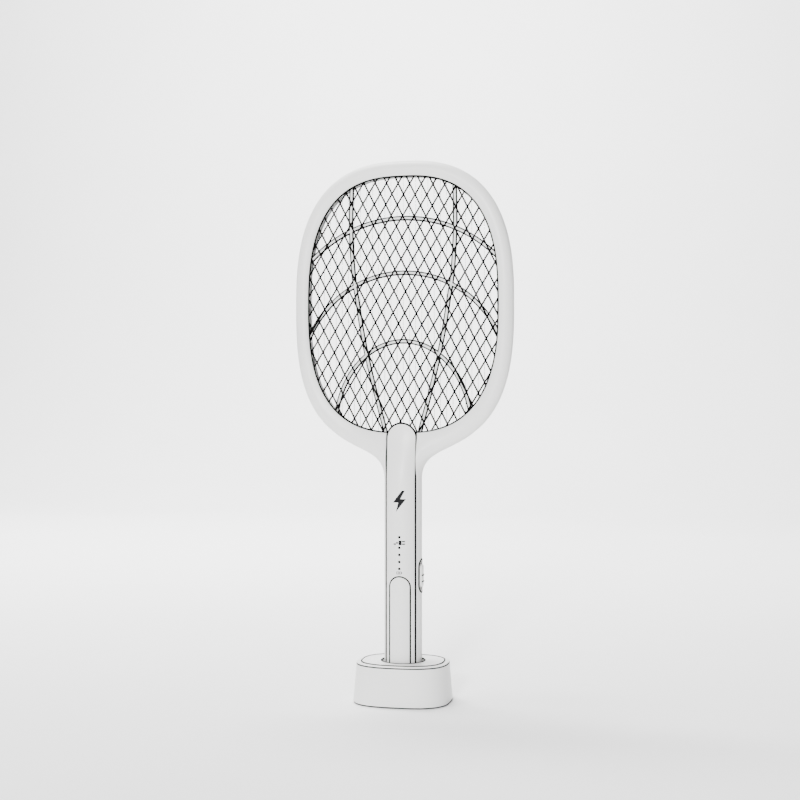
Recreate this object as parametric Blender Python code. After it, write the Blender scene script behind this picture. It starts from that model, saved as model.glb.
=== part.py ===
"""Electric fly swatter: a racket with three layers of net, standing in its charging dock.

The front faces -Y, +Z is up, and the origin is on the floor under the middle of the dock.
Lengths in this script are millimetres; new_object turns them into metres.
"""

import math

import bmesh
import bpy
from mathutils import Vector

MM = 0.001

# Head: upper and lower half ovals (superellipses) of the two outlines, joined at their widest
HEAD_HALF_WIDTH, HEAD_WIDEST_Z = 106.0, 376.3
HEAD_TOP_REACH, HEAD_TOP_POWER = 135.4, 2.6
HEAD_LOW_REACH, HEAD_LOW_POWER = 138.9, 2.8
OPEN_HALF_WIDTH, OPEN_WIDEST_Z = 92.2, 374.4
OPEN_TOP_REACH, OPEN_LOW_REACH = 122.1, 122.2
OPEN_POWER = 2.65

# Section of the frame: the skin rounds up from the parting plane, then runs flat to the lip
RIM_HALF_DEPTH, RIM_ROUND = 8.5, 9.0
LIP_DROP = 1.7
LIP_BACK = 5.0
LIP_WIDTH = 5.2
WALL = 2.0
PARTING = 0.15  # each half stops this far from the middle plane

# Handle and throat
HANDLE_R = 17.8
HANDLE_TOP_Z, THROAT_TOP_Z = 208.3, 255.8
THROAT_BEND = ((45.3, 233.0), (HANDLE_R, 236.8))
HANDLE_BOTTOM_Z = 12.3
SLOT_HALF_WIDTH = 14.6

# Front panel, with its rounded nose over the net
PANEL_HALF_WIDTH, NOSE_CENTRE_Z = 13.6, 247.3
NOSE_HALF_DEPTH = 9.5

# Net layers, as distances from the middle plane
NET_Y, CARRIER_Y, GRID_Y = (3.7, 4.7), (0.8, 3.4), (-0.5, 0.5)
NET_TUCK = 4.0  # how far every layer reaches under the lip
CELL_ACROSS, CELL_UP, WIRE = (11.25, -0.7), (0.8, 20.5), 1.1  # the net lies slightly askew
SOLID_CELL = 2  # the solid nets carry every second wire of the real ones
NET_NODE = (3.15, 386.7)
GRID_BAR_STEP, GRID_BAR_WIDTH = 17.0, 0.9
RIB_HALF_WIDTH = 1.6
ARCHES = ((456.7, 125.0, 125.0), (404.6, 100.0, 100.0), (339.4, 66.0, 83.9))  # crown z, half width, height
SIDE_RIB = ((50.0, 489.5), (50.1, 486.6), (50.6, 446.5), (48.2, 405.0), (44.4, 379.1), (40.2, 352.5),
            (35.0, 326.0), (27.4, 294.2), (17.1, 255.2), (16.0, 250.5))

# Key, indicators and side switch
KEY_HALF_WIDTH, KEY_PROUD = 9.5, 0.1
KEY_Z, KEY_GAP = (18.0, 117.8), 0.7
KEY_SWITCH_Z = (45.0, 98.0)
INDICATOR_Z = (125.6, 132.0, 138.6, 145.2, 155.0)
INDICATOR_R, LIGHT_POST_R = 0.95, 0.65
SWITCH_Z = 117.8
BEZEL_HALF_LENGTH, BEZEL_HALF_WIDTH = 15.35, 6.7
BEZEL_RIM, BEZEL_PROUD = 1.3, 0.4
KNOB_HALF_LENGTH, KNOB_HALF_WIDTH, KNOB_TOP_X = 10.7, 4.8, 19.4

# Inside the handle
BOARD_Y, BOARD_HALF_WIDTH, BOARD_Z = (-7.2, -6.0), 11.0, (40.0, 165.0)
CELL_R, CELL_Y, CELL_Z = 9.0, 5.0, (30.0, 95.0)

# Screws that hold the halves together
BOSS_R, BOSS_IN = 2.9, 6.2  # boss radius and its distance in from the edge of the head
BOSS_ROWS = (4, 11, 18, 26)  # which outline points the bosses stand at
HANDLE_SCREW_Z = (172.0, 200.0)

# Dock
DOCK_LOW = (45.8, 39.2, 2.9)  # half width, half depth and power of the outline at the bottom
DOCK_EDGE = (43.3, 36.3, 2.6)
DOCK_BOTTOM_Z, DOCK_EDGE_Z, DOCK_TOP_Z = 1.0, 37.1, 38.3
DOCK_INSET, DOCK_WALL = 4.2, 2.4
WELL_R, WELL_FLOOR_Z, WELL_WALL = 19.9, 12.0, 2.2
BASE_Z = (1.5, 3.5)
DOCK_BOARD_Z = (3.9, 5.1)
PIN_X, PIN_R, PIN_Z = 7.0, 1.2, (5.9, 12.7)
FOOT_SPOTS = ((-27.0, -23.0), (27.0, -23.0), (27.0, 23.0), (-27.0, 23.0))
BASE_SCREW_SPOTS = ((-34.0, -10.0), (34.0, -10.0), (34.0, 10.0), (-34.0, 10.0))

STEPS_UPPER, STEPS_LOWER, STEPS_THROAT = 13, 11, 8
DOCK_AROUND = 40


# ---------- scene helpers ----------

def clear_scene():
    for obj in list(bpy.data.objects):
        bpy.data.objects.remove(obj, do_unlink=True)


def make_material(name, colour, roughness, metallic=0.0):
    material = bpy.data.materials.new(name)
    material.use_nodes = True
    shader = material.node_tree.nodes["Principled BSDF"]
    shader.inputs["Base Color"].default_value = (*colour, 1.0)
    shader.inputs["Roughness"].default_value = roughness
    shader.inputs["Metallic"].default_value = metallic
    return material


def make_materials():
    return {
        "white": make_material("white_plastic", (0.86, 0.86, 0.85), 0.42),
        "grey": make_material("grey_plastic", (0.42, 0.43, 0.44), 0.5),
        "dark_wire": make_material("dark_wire", (0.06, 0.06, 0.065), 0.4, 0.8),
        "bright_wire": make_material("bright_wire", (0.62, 0.63, 0.65), 0.3, 1.0),
        "lens": make_material("violet_lens", (0.55, 0.42, 0.85), 0.15),
        "led": make_material("led_body", (0.9, 0.9, 0.8), 0.3),
        "board": make_material("circuit_board", (0.03, 0.22, 0.10), 0.5),
        "steel": make_material("steel", (0.6, 0.6, 0.62), 0.3, 1.0),
        "gold": make_material("gold_contact", (0.83, 0.62, 0.25), 0.25, 1.0),
        "black": make_material("black_plastic", (0.03, 0.03, 0.035), 0.5),
        "copper": make_material("copper_winding", (0.72, 0.36, 0.16), 0.4, 0.9),
        "cell": make_material("cell_wrap", (0.10, 0.30, 0.55), 0.4),
        "red": make_material("red_lead", (0.65, 0.04, 0.03), 0.5),
        "rubber": make_material("rubber", (0.05, 0.05, 0.05), 0.9),
    }


def new_object(name, points, faces, material, parent=None, origin=(0, 0, 0)):
    """A mesh object from points in millimetres, with its origin at the given point."""
    mesh = bpy.data.meshes.new(name)
    start = Vector(origin)
    mesh.from_pydata([(Vector(p) - start) * MM for p in points], [], faces)
    work = bmesh.new()
    work.from_mesh(mesh)
    bmesh.ops.remove_doubles(work, verts=work.verts, dist=1e-7)
    bmesh.ops.recalc_face_normals(work, faces=work.faces)
    work.to_mesh(mesh)
    work.free()
    mesh.shade_smooth()
    mesh.set_sharp_from_angle(angle=math.radians(35))
    obj = bpy.data.objects.new(name, mesh)
    bpy.context.scene.collection.objects.link(obj)
    obj.location = start * MM
    if material is not None:
        mesh.materials.append(material)
    if parent is not None:
        obj.parent = parent
        obj.location = start * MM - parent.location
    return obj


def new_empty(name, place):
    empty = bpy.data.objects.new(name, None)
    empty.location = Vector(place) * MM
    bpy.context.scene.collection.objects.link(empty)
    return empty


def as_cutter(obj):
    obj.hide_render = True
    obj.display_type = "WIRE"
    return obj


def combine(obj, other, operation):
    """A Boolean on obj with a helper solid, by the exact solver."""
    modifier = obj.modifiers.new(operation.lower(), "BOOLEAN")
    modifier.operation = operation
    modifier.solver = "EXACT"
    modifier.object = as_cutter(other)


# ---------- solids ----------

def loft(sections, closed=False):
    """Points and faces of a skin through loops of equally many points, capped unless it closes on itself."""
    points = [p for section in sections for p in section]
    count, rows = len(sections[0]), len(sections)
    faces = []
    for row in range(rows if closed else rows - 1):
        low, high = row * count, (row + 1) % rows * count
        for i in range(count):
            j = (i + 1) % count
            faces.append((low + i, low + j, high + j, high + i))
    if not closed:
        faces.append(tuple(range(count)))
        faces.append(tuple((rows - 1) * count + i for i in range(count)))
    return points, faces


def merge_shapes(shapes):
    """One list of points and faces from several separate shapes."""
    points, faces = [], []
    for shape_points, shape_faces in shapes:
        base = len(points)
        points.extend(shape_points)
        faces.extend(tuple(base + i for i in face) for face in shape_faces)
    return points, faces


def box_shape(low, high):
    xs, ys, zs = zip(low, high)
    bottom = [(xs[0], ys[0], zs[0]), (xs[1], ys[0], zs[0]), (xs[1], ys[1], zs[0]), (xs[0], ys[1], zs[0])]
    return loft([bottom, [(x, y, zs[1]) for x, y, _ in bottom]])


def on_axis(axis, a, b, place):
    """A point from two cross coordinates and its place on the named axis."""
    return {"X": (place, a, b), "Y": (a, place, b), "Z": (a, b, place)}[axis]


def circle(radius, a=0.0, b=0.0, count=20, turn=0.5):
    steps = [2 * math.pi * (i + turn) / count for i in range(count)]
    return [(a + radius * math.cos(t), b + radius * math.sin(t)) for t in steps]


def stadium(half_width, low, high, middle=0.0, count=8):
    """Outline of a slot with round ends, as (across, along) pairs."""
    ends = []
    for centre, start in ((high - half_width, 0.0), (low + half_width, math.pi)):
        for i in range(count + 1):
            t = start + math.pi * i / count
            ends.append((middle + half_width * math.cos(t), centre + half_width * math.sin(t)))
    return ends


def prism(outline, axis, start, end):
    return loft([[on_axis(axis, a, b, place) for a, b in outline] for place in (start, end)])


def turned(profile, axis, a=0.0, b=0.0, count=20):
    """A turned solid: profile lists (radius, place on the axis) from one end to the other."""
    return loft([[on_axis(axis, p, q, place) for p, q in circle(r, a, b, count)] for r, place in profile])


# ---------- outlines of the racket ----------

def oval_arc(widest_z, half_width, reach, power, steps, x_end=0.0):
    """Points (x, z) from the widest level to the half width x_end. A negative reach goes down."""
    last = math.acos((x_end / half_width) ** (power / 2))
    arc = []
    for i in range(steps + 1):
        t = last * i / steps
        x = half_width * max(math.cos(t), 0.0) ** (2 / power)
        arc.append((x if i < steps else x_end, widest_z + reach * math.sin(t) ** (2 / power)))
    return arc


def bezier(p0, p1, p2, p3, t):
    u = 1 - t
    weights = (u**3, 3 * u * u * t, 3 * u * t * t, t**3)
    return tuple(sum(w * p[k] for w, p in zip(weights, (p0, p1, p2, p3))) for k in (0, 1))


def spaced(path, count):
    """count + 1 points at equal distances along a path."""
    ends = [0.0]
    for p, q in zip(path, path[1:]):
        ends.append(ends[-1] + math.dist(p, q))
    result, k = [], 0
    for i in range(count + 1):
        want = ends[-1] * i / count
        while k < len(path) - 2 and ends[k + 1] < want:
            k += 1
        share = (want - ends[k]) / (ends[k + 1] - ends[k])
        result.append(tuple(a + share * (b - a) for a, b in zip(path[k], path[k + 1])))
    return result


def blend(low, high, value):
    """0 at low, 1 at high, smooth between them."""
    t = min(1.0, max(0.0, (value - low) / (high - low)))
    return t * t * (3 - 2 * t)


def mix(a, b, t):
    return a + (b - a) * t


def along(p, q, distance):
    """The point this far from p toward q."""
    t = distance / math.dist(p, q)
    return tuple(mix(a, b, t) for a, b in zip(p, q))


def outer_half():
    """Right half of the racket's outline, from the top of the head to the bottom of the handle."""
    share = (HEAD_WIDEST_Z - THROAT_TOP_Z) / HEAD_LOW_REACH
    low_x = HEAD_HALF_WIDTH * (1 - share**HEAD_LOW_POWER) ** (1 / HEAD_LOW_POWER)
    upper = oval_arc(HEAD_WIDEST_Z, HEAD_HALF_WIDTH, HEAD_TOP_REACH, HEAD_TOP_POWER, 200)[::-1]
    lower = oval_arc(HEAD_WIDEST_Z, HEAD_HALF_WIDTH, -HEAD_LOW_REACH, HEAD_LOW_POWER, 200, low_x)
    bend = ((low_x, THROAT_TOP_Z), *THROAT_BEND, (HANDLE_R, HANDLE_TOP_Z))
    throat = [bezier(*bend, i / STEPS_THROAT) for i in range(STEPS_THROAT + 1)]
    handle = [(HANDLE_R, z) for z in (165.0, 85.0, HANDLE_BOTTOM_Z)]
    return spaced(upper, STEPS_UPPER) + spaced(lower, STEPS_LOWER)[1:] + throat[1:] + handle


def inner_half(edge_x):
    """The matching inner boundary, and the row where it leaves the opening to run down at x = edge_x."""
    upper = oval_arc(OPEN_WIDEST_Z, OPEN_HALF_WIDTH, OPEN_TOP_REACH, OPEN_POWER, 200)[::-1]
    lower = oval_arc(OPEN_WIDEST_Z, OPEN_HALF_WIDTH, -OPEN_LOW_REACH, OPEN_POWER, 200, edge_x)
    beside = STEPS_THROAT // 2 - 1
    around = STEPS_LOWER + STEPS_THROAT - beside
    down = [(edge_x, mix(lower[-1][1], HANDLE_TOP_Z, i / beside)) for i in range(1, beside + 1)]
    handle = [(edge_x, z) for z in (165.0, 85.0, HANDLE_BOTTOM_Z)]
    path = spaced(upper, STEPS_UPPER) + spaced(lower, around)[1:] + down + handle
    return path, STEPS_UPPER + around


def opening_outline(grow=0.0, half_count=20):
    """The whole edge of the opening as (x, z), moved outward by grow."""
    reaches = (OPEN_TOP_REACH + grow, -OPEN_LOW_REACH - grow)
    arcs = [oval_arc(OPEN_WIDEST_Z, OPEN_HALF_WIDTH + grow, reach, OPEN_POWER, 200) for reach in reaches]
    quarters = [spaced(arc, half_count // 2) for arc in arcs]
    right = quarters[0][::-1] + quarters[1][1:]
    return right + [(-x, z) for x, z in right[-2:0:-1]]


def skin_depth(d, z):
    """Half depth of the outer skin at a distance d in from the outline."""
    share = blend(206.0, 258.0, z)
    high, reach = mix(HANDLE_R, RIM_HALF_DEPTH, share), mix(HANDLE_R, RIM_ROUND, share)
    return high * math.sqrt(1 - (1 - min(1.0, d / reach)) ** 2)


def hollow_depth(d, z):
    """Half depth of the hollow inside the skin."""
    share = blend(206.0, 258.0, z)
    high, reach = mix(HANDLE_R, RIM_HALF_DEPTH, share) - WALL, mix(HANDLE_R, RIM_ROUND, share) - WALL
    return high * math.sqrt(1 - (1 - min(1.0, max(0.0, d - WALL) / reach)) ** 2)


def frame_section(outer, inner):
    """Section of a frame half between two matching outline points, as (x, half depth, z)."""
    width = math.dist(outer, inner)
    share = blend(206.0, 258.0, outer[1])
    reach = min(mix(HANDLE_R, RIM_ROUND, share), 0.65 * width)
    last = math.acos(1 - reach / max(reach, mix(HANDLE_R, RIM_ROUND, share)))
    lip = blend(222.0, 250.0, inner[1])
    outside = [reach * (1 - math.cos(last * k / 4)) / (1 - math.cos(last)) for k in range(5)]
    pairs = []
    for d in outside + [mix(reach, width, 0.55), width]:
        z = mix(outer[1], inner[1], d / width)
        drop = LIP_DROP * lip * max(0.0, (d - reach) / (width - reach)) ** 1.5
        pairs.append((d, max(PARTING, skin_depth(d, z) - drop)))
    ledge = mix(mix(WALL, width, 0.7), width - LIP_WIDTH, lip)
    third = mix(mix(WALL, width, 0.35), 0.9 * ledge, lip)
    for d, flat in ((width, lip), (ledge, lip), (third, 0.0), (mix(WALL, third, 0.35), 0.0)):
        z = mix(outer[1], inner[1], d / width)
        pairs.append((d, mix(hollow_depth(d, z), LIP_BACK, flat)))
    pairs.append((WALL, PARTING))
    return [(mix(outer[0], inner[0], d / width), h, mix(outer[1], inner[1], d / width)) for d, h in pairs]


def frame_half(name, side, edge_x, material, parent):
    """One half of the frame. The front (side -1) has a slot down the handle; the rear closes at x = 0."""
    inner, opening_ends = inner_half(edge_x)
    sections = [frame_section(o, i) for o, i in zip(outer_half(), inner)]
    count, wall = len(sections[0]), 6
    points, faces = [], []
    for mirror in (1, -1):
        base = len(points)
        points.extend((mirror * x, side * y, z) for section in sections for x, y, z in section)
        for row in range(len(sections) - 1):
            a, b = base + row * count, base + (row + 1) * count
            for k in range(count):
                if edge_x > 0 or row < opening_ends or k != wall:
                    j = (k + 1) % count
                    faces.append((a + k, a + j, b + j, b + k))
        faces.append(tuple(base + (len(sections) - 1) * count + k for k in range(count)))
    return new_object(name, points, faces, material, parent)


def handle_skin(x, z):
    """Half depth of the front skin at x on a level of the handle or throat."""
    if z <= HANDLE_TOP_Z:
        return math.sqrt(HANDLE_R**2 - x * x)
    share = blend(206.0, 258.0, z)
    crown = mix(HANDLE_R, NOSE_HALF_DEPTH, share)
    edge = mix(math.sqrt(HANDLE_R**2 - PANEL_HALF_WIDTH**2), NOSE_HALF_DEPTH - 1.6, share)
    fall = (1 - math.sqrt(1 - (x / HANDLE_R) ** 2)) / (1 - math.sqrt(1 - (PANEL_HALF_WIDTH / HANDLE_R) ** 2))
    return mix(crown, edge, fall)


def skin_strip(name, levels, half_width, proud, material, parent, origin, across=9):
    """A curved plate that follows the handle's front skin; half_width gives its half width at a level."""
    sections = []
    for z in levels:
        xs = [half_width(z) * mix(-1, 1, i / (across - 1)) for i in range(across)]
        outside = [(x, -handle_skin(x, z) - proud, z) for x in xs]
        inside = [(x, -handle_skin(x, z) - proud + WALL, z) for x in xs[::-1]]
        sections.append(outside + inside)
    return new_object(name, *loft(sections), material, parent, origin)


def rounded_levels(low, high, radius, round_low):
    """Levels for a plate with a half round top end, and a half round bottom end if asked for."""
    turns = [radius * math.cos(math.radians(a)) for a in (12, 28, 45, 62, 78, 90)]
    bottom = [low + radius - turn for turn in turns] if round_low else [low]
    return bottom + [high - radius + turn for turn in turns[::-1]]


def round_end_width(radius, low, high, round_low):
    """The half width at a level of such a plate."""
    def half_width(z):
        over = max(0.0, z - (high - radius))
        if round_low:
            over = max(over, low + radius - z)
        return math.sqrt(max(0.0, radius**2 - over**2))
    return half_width


# ---------- pieces of the racket ----------

def boss_spots():
    """Where the screws stand, as (x, z): beside the rim and down the handle."""
    outer, (inner, _) = outer_half(), inner_half(SLOT_HALF_WIDTH)
    rim = [along(outer[row], inner[row], BOSS_IN) for row in BOSS_ROWS]
    return [(side * x, z) for x, z in rim for side in (-1, 1)], [(0.0, z) for z in HANDLE_SCREW_Z]


def make_frame(racket, mats):
    rim, handle = boss_spots()
    front = frame_half("front_shell", -1, SLOT_HALF_WIDTH, mats["white"], racket)
    rear = frame_half("rear_shell", 1, 0.0, mats["white"], racket)
    front_posts = [turned([(BOSS_R, -7.2), (BOSS_R, -0.4)], "Y", x, z, 8) for x, z in rim]
    pilots = [turned([(1.35, -5.4), (1.35, 1.0)], "Y", x, z, 8) for x, z in rim]
    rear_posts = [turned([(BOSS_R, 7.2), (BOSS_R, 0.4)], "Y", x, z, 8) for x, z in rim]
    rear_posts += [turned([(BOSS_R, 16.8), (BOSS_R, 0.4)], "Y", x, z, 8) for x, z in handle]
    bores = [turned([(1.35, -1.0), (1.35, 4.4), (2.5, 4.4), (2.5, 12.0)], "Y", x, z, 8) for x, z in rim]
    bores += [turned([(1.35, -1.0), (1.35, 8.0), (2.5, 8.0), (2.5, 20.0)], "Y", x, z, 8) for x, z in handle]
    side_hole = stadium(BEZEL_HALF_WIDTH + 0.3, SWITCH_Z - BEZEL_HALF_LENGTH - 0.3,
                        SWITCH_Z + BEZEL_HALF_LENGTH + 0.3)
    side_window = prism(side_hole, "X", 9.0, 24.0)
    combine(front, new_object("front_bosses", *merge_shapes(front_posts), None), "UNION")
    combine(front, new_object("front_pilots", *merge_shapes(pilots), None), "DIFFERENCE")
    combine(front, new_object("front_window", *side_window, None), "DIFFERENCE")
    combine(rear, new_object("rear_bosses", *merge_shapes(rear_posts), None), "UNION")
    combine(rear, new_object("rear_bores", *merge_shapes(bores), None), "DIFFERENCE")
    combine(rear, new_object("rear_window", *side_window, None), "DIFFERENCE")
    for number, (x, z) in enumerate(rim + handle, start=1):
        seat, tip = (4.7, -4.6) if abs(x) > 1 else (8.3, -8.0)
        profile = [(2.2, seat + 1.7), (2.2, seat), (1.05, seat), (1.05, tip)]
        screw = turned(profile, "Y", x, z, 8)
        new_object(f"shell_screw_{number}", *screw, mats["steel"], racket, (x, seat, z))


def make_panel(racket, mats):
    high = NOSE_CENTRE_Z + PANEL_HALF_WIDTH
    levels = [HANDLE_BOTTOM_Z, HANDLE_TOP_Z, 217.0, 225.0, 233.0, 241.0]
    levels += rounded_levels(HANDLE_BOTTOM_Z, high, PANEL_HALF_WIDTH, False)[1:]
    panel = skin_strip("front_panel", levels, round_end_width(PANEL_HALF_WIDTH, 0, high, False), 0.0,
                       mats["white"], racket, (0, -HANDLE_R, 130))
    _, handle = boss_spots()
    posts = [turned([(BOSS_R, -16.8), (BOSS_R, -0.8)], "Y", x, z, 8) for x, z in handle]
    hole = stadium(KEY_HALF_WIDTH + KEY_GAP, KEY_Z[0] - KEY_GAP, KEY_Z[1] + KEY_GAP)
    cuts = [prism(hole, "Y", -25.0, -5.0)]
    cuts += [turned([(INDICATOR_R, -25.0), (INDICATOR_R, -12.0)], "Y", 0, z, 10) for z in INDICATOR_Z]
    cuts += [turned([(1.35, -9.0), (1.35, 2.0)], "Y", x, z, 8) for x, z in handle]
    combine(panel, new_object("panel_bosses", *merge_shapes(posts), None), "UNION")
    combine(panel, new_object("panel_cuts", *merge_shapes(cuts), None), "DIFFERENCE")


def ring_plate(inside_grow, outside_grow, ys):
    inner, outer = opening_outline(inside_grow), opening_outline(outside_grow)
    loops = [[(x, y, z) for x, z in outline] for outline, y in
             ((outer, ys[0]), (outer, ys[1]), (inner, ys[1]), (inner, ys[0]))]
    return loft(loops, closed=True)


def make_net(name, side, racket, mats):
    """A net: a plate with lozenge holes cut inside the opening, so that its edge stays whole."""
    low, high = sorted(side * y for y in NET_Y)
    plate = [[(x, y, z) for x, z in opening_outline(NET_TUCK)] for y in (low, high)]
    net = new_object(name, *loft(plate), mats["dark_wire"], racket)
    across, up = (Vector(step) * SOLID_CELL / 2 for step in (CELL_ACROSS, CELL_UP))
    keep = 1 - WIRE * math.hypot(across.length, up.length) / (2 * across.length * up.length)
    holes = []
    for row in range(-8, 8):
        for column in range(-10, 11):
            if (row + column) % 2:
                middle = Vector(NET_NODE) + column * across + row * up
                if abs(middle.x) < OPEN_HALF_WIDTH + 4 and 240 < middle.y < 510:
                    corners = [middle + keep * step for step in (across, up, -across, -up)]
                    holes.append(prism([tuple(corner) for corner in corners], "Y", low - 1, high + 1))
    cutter = new_object(f"{name}_holes", *merge_shapes(holes), None)
    limit = [[(x, y, z) for x, z in opening_outline(-0.6)] for y in (low - 2, high + 2)]
    combine(cutter, new_object(f"{name}_limit", *loft(limit), None), "INTERSECT")
    combine(net, cutter, "DIFFERENCE")


def rib(path, ys):
    """A flat bar of the carrier's thickness along a path of (x, z) points."""
    sections = []
    for i, (x, z) in enumerate(path):
        (x0, z0), (x1, z1) = path[max(i - 1, 0)], path[min(i + 1, len(path) - 1)]
        length = math.hypot(x1 - x0, z1 - z0)
        nx, nz = -(z1 - z0) / length * RIB_HALF_WIDTH, (x1 - x0) / length * RIB_HALF_WIDTH
        left, right = (x - nx, z - nz), (x + nx, z + nz)
        corners = ((left, ys[0]), (right, ys[0]), (right, ys[1]), (left, ys[1]))
        sections.append([(point[0], y, point[1]) for point, y in corners])
    return loft(sections)


def inside_opening(x, z, grow):
    reach = (OPEN_TOP_REACH if z > OPEN_WIDEST_Z else OPEN_LOW_REACH) + grow
    across, up = abs(x) / (OPEN_HALF_WIDTH + grow), abs(z - OPEN_WIDEST_Z) / reach
    return across**OPEN_POWER + up**OPEN_POWER < 1


def arch_path(crown_z, half_width, height):
    """The part of an arch that lies inside the opening, ending under the rim."""
    path = []
    for i in range(721):
        t = math.pi * i / 720
        x, z = half_width * math.cos(t), crown_z - height + height * math.sin(t)
        if inside_opening(x, z, 1.5):
            path.append((x, z))
    return spaced(path, 14)


def make_carrier(name, side, racket, mats):
    """The frame that holds a net: a ring under the rim, three arches and two side ribs."""
    ys = sorted(side * y for y in CARRIER_Y)
    carrier = new_object(name, *ring_plate(-0.3, NET_TUCK, ys), mats["white"], racket)
    ribs = [rib(arch_path(*arch), ys) for arch in ARCHES]
    ribs += [rib([(mirror * x, z) for x, z in spaced(SIDE_RIB, 9)], ys) for mirror in (1, -1)]
    for number, shape in enumerate(ribs):
        combine(carrier, new_object(f"{name}_rib_{number}", *shape, None), "UNION")


def make_grid(racket, mats):
    """The live grid between the nets: a wire frame with upright bars."""
    grid = new_object("live_grid", *ring_plate(0.6, NET_TUCK, GRID_Y), mats["bright_wire"], racket)
    bars = []
    for i in range(-5, 6):
        x = i * GRID_BAR_STEP
        inside = [z for z in range(240, 510) if inside_opening(x, z, 2.0)]
        bars.append(box_shape((x - GRID_BAR_WIDTH / 2, GRID_Y[0] + 0.05, inside[0]),
                              (x + GRID_BAR_WIDTH / 2, GRID_Y[1] - 0.05, inside[-1])))
    combine(grid, new_object("grid_bars", *merge_shapes(bars), None), "UNION")


def make_lure(racket, mats):
    """The violet lamp at the foot of the opening: three lights on a board, under a clear bar."""
    new_object("uv_lamp_board", *box_shape((-11, -5.5, 235.6), (11, 5.5, 236.8)), mats["board"], racket)
    for number, x in enumerate((-7.5, 0, 7.5), start=1):
        profile = [(2.9, 237.1), (2.9, 238.1), (2.5, 238.1), (2.5, 240.4), (1.6, 242.2)]
        new_object(f"uv_led_{number}", *turned(profile, "Z", x, 0, 10), mats["led"], racket, (x, 0, 237.1))
    new_object("uv_lens", *box_shape((-12.5, -4.3, 243.2), (12.5, 4.3, 247.6)), mats["lens"], racket)


def square_to_round(half, low, high, radius, top, centre):
    """A square body along -Y with a round plunger in front; low and high are distances from centre."""
    x, y, z = centre
    square = []
    for a, b in circle(1.0, count=12):
        s = half / max(abs(a), abs(b))
        square.append((a * s, b * s))
    rounded = circle(radius, count=12)
    rows = ((square, low), (square, high), (rounded, high), (rounded, top))
    return loft([[(x + a, y - d, z + b) for a, b in outline] for outline, d in rows])


def make_electronics(racket, mats):
    front = BOARD_Y[0]
    board = box_shape((-BOARD_HALF_WIDTH, front, BOARD_Z[0]), (BOARD_HALF_WIDTH, BOARD_Y[1], BOARD_Z[1]))
    new_object("main_board", *board, mats["board"], racket)
    low, high = CELL_Z
    cell = [(CELL_R - 0.6, low), (CELL_R, low + 0.8), (CELL_R, high - 1.2), (CELL_R - 0.6, high - 0.8),
            (2.8, high - 0.8), (2.8, high)]
    new_object("battery_cell", *turned(cell, "Z", 0, CELL_Y, 24), mats["cell"], racket, (0, CELL_Y, low))
    coil = box_shape((-9.0, -5.0, 137.0), (5.0, 8.0, 160.0))
    new_object("high_voltage_transformer", *coil, mats["copper"], racket, (-2, 1.5, 137))
    can = turned([(5.0, 103.0), (5.0, 128.0), (4.4, 129.0)], "Z", -4.5, 3.5, 16)
    new_object("high_voltage_capacitor", *can, mats["red"], racket, (-4.5, 3.5, 103))
    for place, z in zip(("lower", "upper"), KEY_SWITCH_Z):
        shape = square_to_round(3.0, 0.3, 3.8, 1.7, 5.2, (0, front, z))
        new_object(f"trigger_microswitch_{place}", *shape, mats["black"], racket, (0, front, z))
    new_object("slide_switch_body", *box_shape((5.0, -4.2, SWITCH_Z - 10), (10.8, 4.2, SWITCH_Z + 10)),
               mats["black"], racket, (10.8, 0, SWITCH_Z))
    strip = box_shape((-2.5, -12.0, INDICATOR_Z[0] - 3), (2.5, -10.2, INDICATOR_Z[-1] + 3))
    pipe = new_object("indicator_light_pipe", *strip, mats["lens"], racket, (0, -11, 140))
    posts = [turned([(LIGHT_POST_R, -17.7), (LIGHT_POST_R, -11.0)], "Y", 0, z, 10) for z in INDICATOR_Z]
    combine(pipe, new_object("light_posts", *merge_shapes(posts), None), "UNION")
    for name, side, end_y, mat in (("live_lead", 1, 0.0, "red"), ("ground_lead", -1, 4.2, "black")):
        path = [(side * 6.5, -2.5, 165.6), (side * 6.5, -2.5, 190.0), (side * 8.0, -1.0, 212.0),
                (side * 14.5, 0.0, 232.0), (side * 15.5, end_y, 241.0), (side * 15.5, end_y, 247.4)]
        sections = [[(x + a, y + b, z) for a, b in circle(0.6, count=6)] for x, y, z in path]
        new_object(name, *loft(sections), mats[mat], racket, path[0])


def make_end_cap(racket, mats):
    low = HANDLE_BOTTOM_Z + 0.2
    disc = turned([(15.2, low), (15.2, low + 3.0)], "Z", count=24)
    cap = new_object("handle_end_cap", *disc, mats["white"], racket, (0, 0, low))
    holes = [turned([(3.4, 0.0), (3.4, 30.0)], "Z", side * PIN_X, 0, 16) for side in (-1, 1)]
    combine(cap, new_object("contact_holes", *merge_shapes(holes), None), "DIFFERENCE")
    for place, side in (("left", -1), ("right", 1)):
        x, z = side * PIN_X, low + 0.5
        contact = turned([(3.0, z), (3.0, z + 1.5), (1.2, z + 1.5), (1.2, z + 5.5)], "Z", x, 0, 16)
        new_object(f"charge_contact_{place}", *contact, mats["gold"], racket, (x, 0, z))


def make_key(racket, mats):
    """The long touch key: a strip of the front skin with two stems over the switches."""
    low, high = KEY_Z
    pivot = (0, -HANDLE_R, sum(KEY_Z) / 2)
    levels = rounded_levels(low, high, KEY_HALF_WIDTH, True)
    half_width = round_end_width(KEY_HALF_WIDTH, low, high, True)
    key = skin_strip("trigger_button", levels, half_width, KEY_PROUD, mats["white"], racket, pivot)
    stems = [turned([(2.0, -17.2), (2.0, BOARD_Y[0] - 6.6)], "Y", 0, z, 12) for z in KEY_SWITCH_Z]
    combine(key, new_object("key_stems", *merge_shapes(stems), None), "UNION")


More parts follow.
